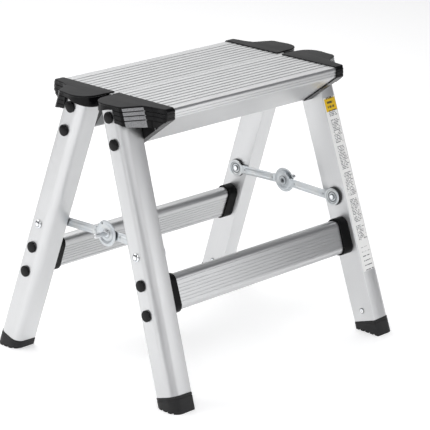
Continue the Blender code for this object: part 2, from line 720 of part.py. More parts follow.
def make_stay_link(half, side, empties):
    """One link of a stay with its half of the middle joint; its empty stands on its pivot's axis."""
    sx, sy = SIDES[side], HALVES[half]
    pivot = stay_frame(sx, sy)
    middle = stay_frame(sx, sy, lift=STAY_RISE, d=0.0)
    reach = middle.translation - pivot.translation
    along = reach.normalized()
    outward = stay_axis(sx)
    frame = basis(along, outward.cross(along), outward, pivot.translation)
    low = -STAY_STANDOFF[sy] - STAY_PLATE
    high = -STAY_STANDOFF[sy]
    empty = add_empty(f"stay_link_{half}_{side}_pivot", pivot.translation, empties[half])
    eye_hole = circle(STAY_PIN_R + GAP, SEGMENTS)
    joint_hole = circle(STAY_PIN_R + GAP, SEGMENTS, reach.length)
    plate = extruded([link_outline(reach.length, STAY_DISC_R[sy]), eye_hole, joint_hole], low, high)
    add_part(f"stay_link_{half}_{side}", plate, frame, ZINC_STEEL, empty)
    joint = frame @ Matrix.Translation((reach.length, 0, 0))
    if half == "rear":
        tip = high + GAP + FINGER_PIN
        pin = turned([
            (0, tip), (FINGER_PIN_R * 0.55, tip - 0.0003), (FINGER_PIN_R, tip - 0.0018),
            (FINGER_PIN_R, high + GAP), (STAY_PIN_R, high + GAP), (STAY_PIN_R, low), (0, low),
        ])
        add_part(f"stay_finger_pin_{side}", pin, joint, ZINC_STEEL, empty)
    else:
        top = low - GAP
        head = turned([
            (0, high), (STAY_PIN_R, high), (STAY_PIN_R, top), (JOINT_HEAD_R, top),
            (JOINT_HEAD_R * 0.85, top - JOINT_HEAD), (JOINT_BORE_R, top - JOINT_HEAD),
            (JOINT_BORE_R, high - 0.0005), (0, high - 0.0005),
        ])
        add_part(f"stay_joint_head_{side}", head, joint, ZINC_STEEL, empty)


def make_spacer(half, side, parent):
    """The washer between a leg and its stay link."""
    sx, sy = SIDES[side], HALVES[half]
    bounds = (-STAY_STANDOFF[sy] + GAP, -GAP - SLANT_GAP)
    washer = extruded([circle(SPACER_R, 24), circle(STAY_PIN_R + GAP, SEGMENTS)], *bounds)
    add_part(f"stay_spacer_{half}_{side}", washer, stay_frame(sx, sy), BLACK_PLASTIC, parent)


# ---------------------------------------------------------------- label
def make_label(parent):
    """A plain sticker along the flat front side of the front right leg."""
    frame = leg_frame(1, -1)
    front = -1 if frame.col[1].y > 0 else 1
    surface = front * (LEG_WIDTH / 2 + GAP)
    ends = sorted((surface, surface + front * LABEL_THICKNESS))
    low, high = (along_leg(z) for z in LABEL_Z)
    label = block((LABEL_N[0], ends[0], low), (LABEL_N[1], ends[1], high))
    add_part("leg_label", label, frame, LABEL_FILM, parent)


# ---------------------------------------------------------------- assembly
def main():
    bodies = {half: add_empty(f"{half}_frame_hinge", (0, 0, HINGE_Z)) for half in HALVES}
    make_platforms(bodies)
    cap = cap_mesh()
    rivets = rivet_meshes()
    for half, sy in HALVES.items():
        body = bodies[half]
        for side, sx in SIDES.items():
            corner = f"{half}_{side}"
            add_part(f"cap_{corner}", flip_to(cap, sx, sy), Matrix.Identity(4), BLACK_PLASTIC, body)
            make_leg(f"leg_{corner}", sx, sy, body)
            make_foot(f"foot_{corner}", sx, sy, body)
            make_spacer(half, side, body)
            make_stay_link(half, side, bodies)
        make_rung(half, sy, body)
        make_rivets(half, sy, body, rivets)
    make_label(bodies["front"])


main()
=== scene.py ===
"""Looks of the folding step stool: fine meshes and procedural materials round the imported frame.

Metres, +Z up, the platform's long side along X, the front half at -Y.  D is the distance from the middle
plane of the stool (|Y|).  Every piece is worked out from the same driving dimensions as the frame's parts.
"""

import math

import bmesh
import bpy
from mathutils import Matrix, Vector


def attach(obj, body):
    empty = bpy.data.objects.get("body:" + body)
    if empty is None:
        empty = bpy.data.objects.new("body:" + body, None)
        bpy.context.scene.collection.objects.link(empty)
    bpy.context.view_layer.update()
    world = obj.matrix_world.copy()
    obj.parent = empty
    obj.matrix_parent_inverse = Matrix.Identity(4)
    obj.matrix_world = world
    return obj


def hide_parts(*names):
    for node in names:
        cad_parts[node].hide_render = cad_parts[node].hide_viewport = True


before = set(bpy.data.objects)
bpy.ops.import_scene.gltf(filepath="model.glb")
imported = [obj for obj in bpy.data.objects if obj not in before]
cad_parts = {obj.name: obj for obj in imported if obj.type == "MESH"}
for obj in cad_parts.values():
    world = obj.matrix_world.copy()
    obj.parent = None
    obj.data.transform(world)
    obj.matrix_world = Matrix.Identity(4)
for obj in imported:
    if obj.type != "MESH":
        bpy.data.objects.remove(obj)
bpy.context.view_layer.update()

SIDES = {"left": -1, "right": 1}
HALVES = {"front": -1, "rear": 1}
IN_PLACE = Matrix.Identity(4)  # for a mesh that is made where it stands

# ---- dimensions shared with the frame
SPLAY, LEAN = 0.3318, 0.0393  # how far a leg runs outward along Y and along X, for each metre down
LEG_FOOT_X = 0.2033  # middle of a leg's inner face, where its line meets the floor
LEG_FOOT_Y = 0.17295
LEG_WIDTH = 0.0417
LEG_DEPTH = 0.038
LEG_CORNER, LEG_EDGE = 0.014, 0.0011  # radii of the section's outer and inner corners
LEG_WALL = 0.0018
LEG_TOP_Z = 0.416  # the tube is cut off level here
TUBE_START = 0.0190

TOP_Z = 0.420
PLATE = 0.0022
HALF_LENGTH = 0.184
TOP_EDGE_D = 0.110
BEVEL_START = 0.0015
FASCIA_D = 0.1155
FASCIA_TOP_Z = 0.4155
FASCIA_BOTTOM_Z = 0.4055
PANEL_END_D = 0.053
PANEL_END_Z = 0.3575
RIB_PITCH = 0.01084
RIB_COUNT = 9

HINGE_Z = 0.411
BEAD_R = 0.0045
BEAD_BORE_R = 0.0024
SOCKET_R = 0.0062
SOCKET_BORE_R = 0.0048
ROD_R = 0.0021
ROD_HEAD_R = 0.0038
ROD_HALF = 0.1845
ROD_HEAD = 0.0022

CAP_X = 0.1725
CAP_SKIN = 0.0018
CAP_TOP_Z = TOP_Z + CAP_SKIN
CAP_PLATE_Z = 0.4188
CAP_START_D = 0.005
SKIRT_START = 0.008
SKIRT_END_D = (0.0055, 0.1168)
SKIRT_INNER_X = 0.1868  # inside of this the cap's body carries on alone
SKIRT_WALL = 0.0020
LOBE_SKIRT_Z = (0.4025, 0.4136)  # the skirt's lower edge rises between these two D values
LOBE_SKIRT_D = (0.0, 0.040)
NOTCH_Z = 0.4152
BLOCK_SIDE_D = (0.0487, 0.0531)  # the deep block's side toward the notch, at its top and bottom
BLOCK_LOW_Z = (0.3963, 0.3921)  # its lower edge, at these two D values
BLOCK_LOW_D = (0.0615, 0.0863)
BLOCK_RAMP_D = (0.0525, 0.0605, 0.0785, 0.105)  # it leans with the leg between these
SOFT = 0.03  # as round as the neighbouring corners allow
CAP_CORNERS = [  # from above: X, D and radius
    (0.190, 0.0058, SOFT), (0.205, 0.0060, SOFT), (0.2165, 0.0085, SOFT), (0.2255, 0.0150, SOFT),
    (0.2303, 0.0245, SOFT), (0.2315, 0.034, SOFT), (0.2300, 0.0445, SOFT), (0.2288, 0.0525, 0.010),
    (0.2285, 0.0605, 0.0025), (0.2255, 0.0655, 0.0012), (0.1985, 0.0785, 0.004), (0.1935, 0.092, 0.02),
    (0.1905, 0.1125, 0.004), (0.1868, 0.1171, 0.001),
]
BLOCK_END = 11  # how many of those corners go round the room for the leg
CAP_GROOVES = (0.4145, 0.4085, 0.4022)

FOOT_PROUD = 0.0006
SOLE_SHIFT = 0.0008
TREAD_PITCH = 0.0095
RUNG_Z = 0.1507
RUNG_HEIGHT = 0.053
RUNG_THICKNESS = 0.0215
RUNG_CORNER = 0.0095
COLLAR_PROUD = 0.0026
COLLAR_LENGTH = 0.0195
COVER_R = 0.0085
COVER_HEIGHT = 0.0038
CAP_RIVET_Z = (0.400, 0.363)
RUNG_RIVET_Z = (0.1712, 0.1302)
FOOT_RIVET = 0.0165  # along the leg from the tube's lower end

STAY_Z = 0.210  # height of the stay's pivots, at the legs' inner faces
STAY_RISE = 0.003
STAY_PLATE = 0.0015
STAY_EYE_R = 0.014
STAY_ARM = 0.0069
STAY_STANDOFF = {1: 0.0023, -1: 0.0043}  # gap between leg and link, rear and front
STAY_DISC_R = {1: 0.0195, -1: 0.015}
SPACER_R = 0.0145
STAY_REACH = 0.1033
LABEL_Z = (0.0915, 0.354)
LABEL_START = 0.0018  # the label's edge, from the leg's inner face

TILT = math.atan(SPLAY)
LEAN_RATIO = LEAN * math.cos(TILT)
GAP = 0.0003  # clearance between neighbouring pieces
PAST = 0.01  # how far a cutting tool runs past what it cuts


# ---- frames of reference
def basis(x_axis, y_axis, z_axis, origin):
    """A frame of reference from its axes and its origin."""
    matrix = Matrix((x_axis, y_axis, z_axis)).transposed().to_4x4()
    matrix.translation = origin
    return matrix


ALONG_X = basis((0, 1, 0), (0, 0, 1), (1, 0, 0), (0, 0, 0))  # for outlines in (Y, Z)


def leg_axis(sx, sy):
    """Direction of a leg, going up."""
    return Vector((-sx * LEAN_RATIO, -sy * math.sin(TILT), math.cos(TILT))).normalized()


def leg_frame(sx, sy, height=0.0):
    """X out through the leg from its inner face, Y across it, Z up along it; origin on the inner face."""
    up = leg_axis(sx, sy)
    outward = Vector((sx, -sy * LEAN_RATIO * math.sin(TILT), LEAN_RATIO * math.cos(TILT))).normalized()
    foot = Vector((sx * LEG_FOOT_X, sy * LEG_FOOT_Y, 0))
    return basis(outward, up.cross(outward), up, foot + up * (height / up.z))


def leg_face_x(d, z):
    """X of a leg's inner face, for a right leg."""
    return LEG_FOOT_X + LEAN_RATIO * (math.sin(TILT) * (d - LEG_FOOT_Y) - math.cos(TILT) * z)


def across_leg(sx, sy, height):
    """The leg's frame with Z through it, for the pieces that go through a leg."""
    leg = leg_frame(sx, sy, height)
    return basis(leg.col[1].xyz, leg.col[2].xyz, leg.col[0].xyz, leg.translation)


def stay_axis(sx):
    """Direction outward, square to the stay's plane."""
    return Vector((sx, 0, LEAN_RATIO * math.cos(TILT))).normalized()


def stay_frame(sx, sy, lift=0.0, d=None):
    """Z outward, Y up in the stay's plane; origin at the pivot, or at another D and lifted."""
    outward = stay_axis(sx)
    up = Vector((-sx * outward.z, 0, abs(outward.x)))
    leg = leg_frame(sx, sy, STAY_Z).translation
    origin = Vector((leg.x, sy * d if d is not None else leg.y, leg.z)) + up * lift
    return basis(up.cross(outward), up, outward, origin)


# ---- outlines
def arc(cx, cy, radius, start, end, steps):
    """Points of an arc between two angles in degrees."""
    angles = [math.radians(start + (end - start) * i / steps) for i in range(steps + 1)]
    return [(cx + radius * math.cos(a), cy + radius * math.sin(a)) for a in angles]


def rounded(corners, closed=False, step=0.0007):
    """A path through (x, y, radius) corners, each rounded as far as its neighbours leave room."""
    count = len(corners)
    path = []
    for i, (x, y, radius) in enumerate(corners):
        here = Vector((x, y))
        if not closed and i in (0, count - 1):
            path.append((x, y))
            continue
        before = Vector(corners[i - 1][:2]) - here
        after = Vector(corners[(i + 1) % count][:2]) - here
        turn = math.pi - before.angle(after)
        if radius <= 0 or turn < 0.01:
            path.append((x, y))
            continue
        reach = min(radius * math.tan(turn / 2), 0.49 * before.length, 0.49 * after.length)
        radius = reach / math.tan(turn / 2)
        start, end = before.normalized(), after.normalized()
        middle = here + (start + end).normalized() * radius / math.cos(turn / 2)
        steps = max(2, math.ceil(radius * turn / step))
        first = here + start * reach - middle
        side = 1 if start.cross(end) < 0 else -1
        for k in range(steps + 1):
            angle = side * turn * k / steps
            spoke = Vector((
                first.x * math.cos(angle) - first.y * math.sin(angle),
                first.x * math.sin(angle) + first.y * math.cos(angle),
            ))
            path.append(tuple(middle + spoke))
    return path


def divided(path, step):
    """A path with points no further apart than step."""
    result = [path[0]]
    for a, b in zip(path[:-1], path[1:]):
        pieces = max(1, math.ceil(math.dist(a, b) / step))
        result += [(a[0] + (b[0] - a[0]) * k / pieces, a[1] + (b[1] - a[1]) * k / pieces)
                   for k in range(1, pieces + 1)]
    return result


def offset_path(points, distance):
    """A path moved to the left of its own direction."""
    directions = [(Vector(b) - Vector(a)).normalized() for a, b in zip(points[:-1], points[1:])]
    moved = []
    for i, point in enumerate(points):
        before = directions[max(i - 1, 0)]
        after = directions[min(i, len(directions) - 1)]
        normal_a = Vector((-before.y, before.x))
        normal_b = Vector((-after.y, after.x))
        middle = (normal_a + normal_b).normalized()
        moved.append(tuple(Vector(point) + middle * distance / middle.dot(normal_a)))
    return moved


def turns(first, step, count):
    """Evenly spaced angles, given in degrees."""
    return [math.radians(first + step * i) for i in range(count)]


def circle(radius):
    """Points of a flat circle round the origin."""
    return arc(0, 0, radius, 0, 360, 36)[:-1]


def level_ring(radius, z, steps):
    """Points of a level circle about Z."""
    angles = [2 * math.pi * k / steps for k in range(steps)]
    return [(radius * math.cos(a), radius * math.sin(a), z) for a in angles]


def smoothstep(low, high, value):
    """0 below low, 1 above high, and a smooth rise between."""
    t = min(max((value - low) / (high - low), 0.0), 1.0)
    return t * t * (3 - 2 * t)


# ---- mesh helpers
def mesh_from(work):
    """A mesh with its doubles merged and its faces turned outward."""
    bmesh.ops.remove_doubles(work, verts=work.verts, dist=1e-6)
    bmesh.ops.recalc_face_normals(work, faces=work.faces)
    mesh = bpy.data.meshes.new("mesh")
    work.to_mesh(mesh)
    work.free()
    return mesh


def add(name, data):
    """A new object in the scene."""
    obj = bpy.data.objects.new(name, data)
    bpy.context.scene.collection.objects.link(obj)
    return obj


def evaluated(obj):
    """What an object's curve or modifier gives, as a mesh."""
    bpy.context.view_layer.update()
    return bpy.data.meshes.new_from_object(obj.evaluated_get(bpy.context.evaluated_depsgraph_get()))


def extruded(loops, low, high, matrix=IN_PLACE):
    """Flat outlines, of which one inside another is a hole, extruded along Z of a frame."""
    curve = bpy.data.curves.new("outline", "CURVE")
    curve.dimensions = "2D"
    curve.fill_mode = "BOTH"
    curve.extrude = (high - low) / 2
    for loop in loops:
        spline = curve.splines.new("POLY")
        spline.points.add(len(loop) - 1)
        for point, (x, y) in zip(spline.points, loop):
            point.co = (x, y, 0, 1)
        spline.use_cyclic_u = True
    holder = add("outline", curve)
    work = bmesh.new()
    work.from_mesh(evaluated(holder))
    bpy.data.objects.remove(holder, do_unlink=True)
    mesh = mesh_from(work)
    mesh.transform(matrix @ Matrix.Translation((0, 0, (high + low) / 2)))
    return mesh


def lofted(rows, matrix=IN_PLACE, closed_ends=True):
    """Quads between rows of points that run round the piece; the end rows are filled, or left open."""
    work = bmesh.new()
    grid = [[work.verts.new(p) for p in row] for row in rows]
    count = len(grid[0])
    for a, b in zip(grid[:-1], grid[1:]):
        for i in range(count):
            j = (i + 1) % count
            work.faces.new((a[i], a[j], b[j], b[i]))
    if closed_ends:
        work.faces.new(grid[0][::-1])
        work.faces.new(grid[-1])
    mesh = mesh_from(work)
    mesh.transform(matrix)
    return mesh


def turned(profile):
    """A closed solid of revolution about Z from (radius, height) points, top to bottom."""
    work = bmesh.new()
    steps = 40
    rings = []
    for radius, z in profile:
        if radius < 1e-7:
            rings.append([work.verts.new((0, 0, z))] * steps)
        else:
            rings.append([work.verts.new(p) for p in level_ring(radius, z, steps)])
    for a, b in zip(rings[:-1], rings[1:]):
        for i in range(steps):
            j = (i + 1) % steps
            corners = dict.fromkeys((a[i], a[j], b[j], b[i]))  # without repeats
            if len(corners) > 2:
                work.faces.new(tuple(corners))
    return mesh_from(work)


def boolean(mesh, tool, operation):
    """The mesh united with the tool, cut by it, or cut down to what both share."""
    holder, cutter = add("boolean", mesh), add("tool", tool)
    modifier = holder.modifiers.new("boolean", "BOOLEAN")
    modifier.solver = "EXACT"
    modifier.operation = operation
    modifier.object = cutter
    result = evaluated(holder)
    for obj in (holder, cutter):
        bpy.data.objects.remove(obj, do_unlink=True)
    return result


def flipped(mesh, sx, sy):
    """A copy of a mesh of the rear right corner, mirrored to another corner."""
    copy = mesh.copy()
    copy.transform(Matrix.Diagonal((sx, sy, 1, 1)))
    if sx * sy < 0:
        copy.flip_normals()
    return copy


def show(node, mesh, matrix, body, look, sharp=32):
    """A fine piece in place of a node of the frame; edges sharper than the angle stay hard."""
    slot, material = look
    obj = add(f"{node}_fine", mesh)
    mesh.materials.clear()
    mesh.materials.append(material)
    mesh.shade_smooth()
    mesh.set_sharp_from_angle(angle=math.radians(sharp))
    obj.matrix_world = matrix
    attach(obj, body)
    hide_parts(node)


# ---- materials
class Nodes:
    """A short way to write a material's nodes; a value may be another node's output."""

    def __init__(self, name, colour, roughness, metallic=0.0, **extra):
        self.material = bpy.data.materials.new(name)
        self.material.use_nodes = True
        self.tree = self.material.node_tree
        self.shader = self.tree.nodes["Principled BSDF"]
        self.shader.inputs["Base Color"].default_value = (*colour, 1)
        self.shader.inputs["Roughness"].default_value = roughness
        self.shader.inputs["Metallic"].default_value = metallic
        for key, value in extra.items():
            self.shader.inputs[key.replace("_", " ")].default_value = value
        self.material.diffuse_color = (*colour, 1)
        self.coordinates = self.tree.nodes.new("ShaderNodeTexCoord").outputs["Object"]
        self.normal = None

    def feed(self, value, socket):
        if isinstance(value, bpy.types.NodeSocket):
            self.tree.links.new(value, socket)
        else:
            socket.default_value = value

    def node(self, kind, settings=None, **inputs):
        """A node with its inputs by name, or by number as i0, i1 and so on."""
        made = self.tree.nodes.new(kind)
        for key, value in (settings or {}).items():
            setattr(made, key, value)
        for key, value in inputs.items():
            numbered = key[0] == "i" and key[1:].isdigit()
            self.feed(value, made.inputs[int(key[1:]) if numbered else key.replace("_", " ")])
        return made

    def split(self):
        """The X, Y and Z of the object coordinates."""
        return self.node("ShaderNodeSeparateXYZ", Vector=self.coordinates).outputs

    def noise(self, scale, detail, roughness, stretch=(1, 1, 1)):
        mapping = self.node("ShaderNodeMapping", Vector=self.coordinates, Scale=stretch)
        texture = self.node("ShaderNodeTexNoise", Vector=mapping.outputs[0], Scale=scale, Detail=detail,
                            Roughness=roughness)
        return texture.outputs["Fac"]

    def remap(self, value, low, high, to_low=0.0, to_high=1.0):
        return self.node("ShaderNodeMapRange", Value=value, From_Min=low, From_Max=high, To_Min=to_low,
                         To_Max=to_high).outputs["Result"]

    def math(self, operation, a, b=0.0, c=0.0):
        return self.node("ShaderNodeMath", {"operation": operation}, i0=a, i1=b, i2=c).outputs[0]

    def product(self, first, *others):
        for other in others:
            first = self.math("MULTIPLY", first, other)
        return first

    def apart(self, a, b):
        """How far apart two values are."""
        return self.math("ABSOLUTE", self.math("SUBTRACT", a, b))

    def mix(self, factor, a, b):
        """From colour a to colour b as the factor goes from 0 to 1."""
        made = self.tree.nodes.new("ShaderNodeMix")
        made.data_type = "RGBA"
        for index, value in ((0, factor), (6, a), (7, b)):
            self.feed((*value, 1) if isinstance(value, tuple) else value, made.inputs[index])
        return made.outputs[2]

    def link(self, value, name):
        self.tree.links.new(value, self.shader.inputs[name])

    def bump(self, height, strength, distance):
        """Relief on top of the relief so far."""
        made = self.node("ShaderNodeBump", Strength=strength, Distance=distance, Height=height)
        if self.normal:
            self.tree.links.new(self.normal, made.inputs["Normal"])
        self.normal = made.outputs[0]
        self.link(self.normal, "Normal")


# noise of the black mouldings: scale, detail and roughness
MARKS = (30, 4.0, 0.6)
SPARK_GRAIN = (1500, 2.0, 0.6)
SPARK_DEPTH = 0.00008


def aluminium(name, colour, roughness, stretch, shade_band=None):
    """Anodised extrusion: fine lines along the profile, a soft grain and a little tone variation.

    A shade band is a height and how much painted shade darkens the colour below it."""
    nodes = Nodes(name, colour, roughness, 1.0)
    streak = 0.05
    lines = nodes.noise(900, 2.0, 0.6, stretch)
    cloud = nodes.noise(14, 3.0, 0.5)
    tone = nodes.math("ADD", nodes.product(lines, 0.6), nodes.product(cloud, 0.4))
    tone = nodes.mix(nodes.remap(tone, 0.3, 0.7), tuple(c * 0.93 for c in colour), colour)
    # painted shade: below the band's height the colour is darkened toward black
    if shade_band:
        below_z, shade_strength = shade_band
        under = nodes.math("LESS_THAN", nodes.split()["Z"], below_z)
        tone = nodes.mix(nodes.product(under, shade_strength), tone, (0.0, 0.0, 0.0))
    nodes.link(tone, "Base Color")
    nodes.link(nodes.remap(lines, 0.3, 0.7, roughness - streak, roughness + streak), "Roughness")
    nodes.bump(lines, 0.06, 0.00004)
    nodes.bump(nodes.noise(2600, 2.0, 0.5), 0.10, 0.00003)
    return name, nodes.material


def plastic(name, colour, roughness, specular=0.5, grain=0.25, lift=0.006):
    """Black moulding with a fine spark-eroded grain and slight handling marks, lighter by the lift."""
    nodes = Nodes(name, colour, roughness, IOR=1.45, Specular_IOR_Level=specular)
    marks = nodes.noise(*MARKS)
    lighter = tuple(c + lift for c in colour)
    nodes.link(nodes.mix(nodes.remap(marks, 0.35, 0.7), colour, lighter), "Base Color")
    nodes.link(nodes.remap(marks, 0.3, 0.7, roughness - 0.05, roughness + 0.06), "Roughness")
    nodes.bump(nodes.noise(*SPARK_GRAIN), grain, SPARK_DEPTH)
    return name, nodes.material


def cap_plastic(name):
    """Glossy black sides, a matte dark grey top and a painted highlight on the block's facet, by object
    coordinates.
    """
    side, top, highlight_colour = (0.0025, 0.0025, 0.003), (0.013, 0.013, 0.014), (0.24, 0.242, 0.248)
    nodes = Nodes(name, side, 0.24, IOR=1.45, Specular_IOR_Level=0.2)
    split = nodes.split()
    x, d, z = nodes.math("ABSOLUTE", split["X"]), nodes.math("ABSOLUTE", split["Y"]), split["Z"]
    # the painted highlight lies on the facet, the plane between these two corners, which leans with the leg
    corner, end = CAP_CORNERS[BLOCK_END - 2][:2], CAP_CORNERS[BLOCK_END - 1][:2]
    run = (Vector(end) - Vector(corner)).normalized()
    leaned = nodes.product(nodes.math("SUBTRACT", CAP_TOP_Z, z), SPLAY)
    upright_d = nodes.math("SUBTRACT", d, leaned)
    past = nodes.math("ADD", nodes.product(x, run.y), nodes.product(upright_d, -run.x))
    plane = corner[0] * run.y - corner[1] * run.x
    near, off = 0.0004, 0.0008
    on_highlit_facet = nodes.remap(nodes.apart(past, plane - near), near, off, 1.0, 0.0)
    on_highlit_facet = nodes.product(on_highlit_facet, nodes.math("LESS_THAN", z, CAP_TOP_Z - 0.0024))
    on_top = nodes.remap(z, CAP_TOP_Z - 0.0008, CAP_TOP_Z - 0.0002)
    marks = nodes.noise(*MARKS)
    top_tone = nodes.mix(nodes.remap(marks, 0.35, 0.7), top, tuple(c + 0.008 for c in top))
    # painted highlight: the facet is coloured light grey with a speckle, in place of a lamp's reflection
    highlight_speckle = nodes.remap(nodes.noise(900, 3.0, 0.7), 0.35, 0.65)
    highlight_tone = nodes.mix(highlight_speckle, tuple(c * 0.7 for c in highlight_colour), tuple(c * 1.4 for c in highlight_colour))
    nodes.link(nodes.mix(on_highlit_facet, nodes.mix(on_top, side, top_tone), highlight_tone), "Base Color")
    rough = nodes.math("ADD", nodes.remap(marks, 0.3, 0.7, 0.20, 0.30), nodes.product(on_top, 0.30))
    nodes.link(nodes.math("ADD", rough, nodes.product(on_highlit_facet, 0.12)), "Roughness")
    nodes.bump(nodes.noise(*SPARK_GRAIN), 0.25, SPARK_DEPTH)
    return name, nodes.material


def zinc(name, colour, roughness, rings=()):
    """Zinc-plated steel: a cool tint, a faint cloud, and painted shade as dark rings or spots in the object's
    own plane.

    A ring is its centre, its radius (0 for a spot), half its width, and how dark its painted shade is."""
    nodes = Nodes(name, colour, roughness, 1.0)
    cloud = nodes.remap(nodes.noise(60, 3.0, 0.5), 0.4, 0.62)
    tone = nodes.mix(cloud, colour, (colour[0] * 0.93, colour[1] * 0.96, colour[2] * 0.99))
    if rings:
        split = nodes.split()
        shade = 0.0
        for centre, radius, width, depth in rings:
            flat = nodes.node("ShaderNodeCombineXYZ", X=nodes.math("SUBTRACT", split["X"], centre[0]),
                              Y=nodes.math("SUBTRACT", split["Y"], centre[1]))
            reach = nodes.node("ShaderNodeVectorMath", {"operation": "LENGTH"}, Vector=flat.outputs[0])
            off = nodes.apart(reach.outputs["Value"], radius)
            shade = nodes.math("MAXIMUM", nodes.remap(off, width * 0.4, width, depth, 0.0), shade)
        # painted shade: the rings and spots darken the colour toward near black
        tone = nodes.mix(shade, tone, (0.03, 0.035, 0.04))
    nodes.link(tone, "Base Color")
    return name, nodes.material


def rubber(name):
    """Black rubber with a coarse grain and a little dust."""
    clean, dusty = (0.010, 0.010, 0.011), (0.024, 0.023, 0.022)
    nodes = Nodes(name, (0.012, 0.012, 0.013), 0.55, IOR=1.4)
    dust = nodes.noise(45, 5.0, 0.65)
    nodes.link(nodes.mix(nodes.remap(dust, 0.45, 0.75), clean, dusty), "Base Color")
    nodes.link(nodes.remap(dust, 0.3, 0.7, 0.48, 0.62), "Roughness")
    nodes.bump(nodes.noise(1100, 3.0, 0.6), 0.3, 0.0001)
    return name, nodes.material


def label_film():
    """White film with a yellow header and rows of plain grey bars of uneven length; no lettering."""
    white, yellow = (0.86, 0.86, 0.85), (0.83, 0.53, 0.012)
    grey, brown = (0.16, 0.16, 0.17), (0.10, 0.08, 0.03)
    header_from, foot_to = 0.351, 0.134
    pitch, more_in_foot, more_in_header = 0.00235, 0.0049, 0.0046
    margin, shortest, longest = 0.0078, 0.0215, 0.0275
    nodes = Nodes("label_film", white, 0.42)
    split = nodes.split()
    across, along = split["X"], split["Z"]
    header = nodes.math("GREATER_THAN", along, header_from)
    foot = nodes.math("LESS_THAN", along, foot_to)
    more = nodes.math("ADD", nodes.product(foot, more_in_foot), nodes.product(header, more_in_header))
    place = nodes.math("DIVIDE", along, nodes.math("ADD", more, pitch))
    row = nodes.math("FLOOR", place)
    half = nodes.math("ADD", nodes.product(foot, -0.15), 0.25)
    bar = nodes.math("LESS_THAN", nodes.apart(nodes.math("FRACT", place), 0.5), half)
    seed = nodes.node("ShaderNodeTexWhiteNoise", {"noise_dimensions": "1D"}, W=row).outputs["Value"]
    end = nodes.remap(seed, 0.0, 1.0, shortest, longest)
    inside = nodes.product(nodes.math("GREATER_THAN", across, margin), nodes.math("LESS_THAN", across, end))
    cell = nodes.node("ShaderNodeCombineXYZ", X=nodes.product(across, 380), Y=nodes.product(row, 7.3))
    word = nodes.node("ShaderNodeTexNoise", Vector=cell.outputs[0], Scale=1.0, Detail=1.0).outputs["Fac"]
    word = nodes.math("GREATER_THAN", word, 0.45)
    paragraph = nodes.math("GREATER_THAN", nodes.math("FRACT", nodes.math("DIVIDE", along, 0.0423)), 0.11)
    over_foot = nodes.math("SUBTRACT", 1.0, nodes.math("COMPARE", along, 0.1395, 0.0055))
    ink = nodes.product(bar, inside, paragraph, over_foot, word)
    field = nodes.math("COMPARE", along, 0.3612, 0.0102)
    field = nodes.product(field, nodes.math("GREATER_THAN", across, 0.0032))
    nodes.link(nodes.mix(ink, nodes.mix(field, white, yellow), nodes.mix(header, grey, brown)), "Base Color")
    nodes.bump(nodes.noise(900, 2.0, 0.5), 0.05, 0.00003)
    return "label_film", nodes.material


BLACK = (0.002, 0.002, 0.0022)
LEG_METAL = aluminium("leg_aluminium", (0.68, 0.685, 0.69), 0.42, (1, 1, 0.02))
# painted shade on the platform's fascia and sloping panel, below a level just under the top
PLATFORM_METAL = aluminium("platform_aluminium", (0.69, 0.695, 0.70), 0.38, (0.02, 1, 1),
                           shade_band=(TOP_Z - 0.003, 0.20))
# painted shade: the rungs are a darker copy of the legs' aluminium, standing in for the shade they sit in
SHADED_RUNG_METAL = aluminium("rung_aluminium", (0.58, 0.585, 0.59), 0.36, (0.02, 1, 1))
CAP_PLASTIC = cap_plastic("cap_plastic")
COLLAR_PLASTIC = plastic("collar_plastic", BLACK, 0.42, 0.12, lift=0.002)
COVER_PLASTIC = plastic("rivet_cover_plastic", BLACK, 0.24, 0.22, grain=0.12, lift=0.002)
SPACER_PLASTIC = plastic("spacer_plastic", (0.008, 0.008, 0.009), 0.45)
FOOT_RUBBER = rubber("foot_rubber")
EYE, JOINT = (0.0, 0.0), (STAY_REACH, 0.0)
# painted shade: dark spots for the uncut holes at the eye and the joint, for the dimples at the rib's ends
# and for the disc's small hole; dark rings round the eye and the joint
SHADED_STAY_STEEL = zinc("stay_steel", (0.60, 0.615, 0.62), 0.36, [
    (EYE, 0.0, 0.0048, 0.92), (EYE, 0.0076, 0.0013, 0.8), (EYE, 0.0106, 0.0009, 0.3),
    (JOINT, 0.0070, 0.0012, 0.3), (JOINT, 0.0, 0.0045, 0.92),
    ((0.0188, 0.0), 0.0, 0.0020, 0.6), ((STAY_REACH - 0.0245, 0.0), 0.0, 0.0020, 0.4),
    ((STAY_REACH - 0.0083, 0.0138), 0.0, 0.0022, 0.95),
])
# painted shade: a dark ring 4.1 mm from the rivet's axis, near the rim of the formed tail and of the foot
# rivets' domes
SHADED_RIVET_STEEL = zinc("rivet_steel", (0.84, 0.845, 0.85), 0.16, [(EYE, 0.0041, 0.0009, 0.75)])
ROD_STEEL = zinc("rod_steel", (0.74, 0.75, 0.76), 0.30)
LABEL_FILM = label_film()


# ---- legs
def leg_corners(inset, edge=LEG_EDGE):
    """The leg's section, made smaller all round by the inset."""
    near, far, half, corner = inset, LEG_DEPTH - inset, LEG_WIDTH / 2 - inset, LEG_CORNER - inset
    corners = [(near, -half, edge), (far, -half, corner), (far, half, corner), (near, half, edge)]
    return rounded(corners, closed=True, step=0.0011)


def make_leg(corner, sx, sy, body):
    """A tube whose top vertices are moved along it until the end is level."""
    top = LEG_TOP_Z / leg_axis(sx, sy).z
    mesh = extruded([leg_corners(0.0), leg_corners(LEG_WALL)], TUBE_START, top)
    matrix = leg_frame(sx, sy)
    for vertex in mesh.vertices:
        if vertex.co.z > top / 2:
            vertex.co.z += (LEG_TOP_Z - (matrix @ vertex.co).z) / matrix.col[2].z
    show(f"leg_{corner}", mesh, matrix, body, LEG_METAL)


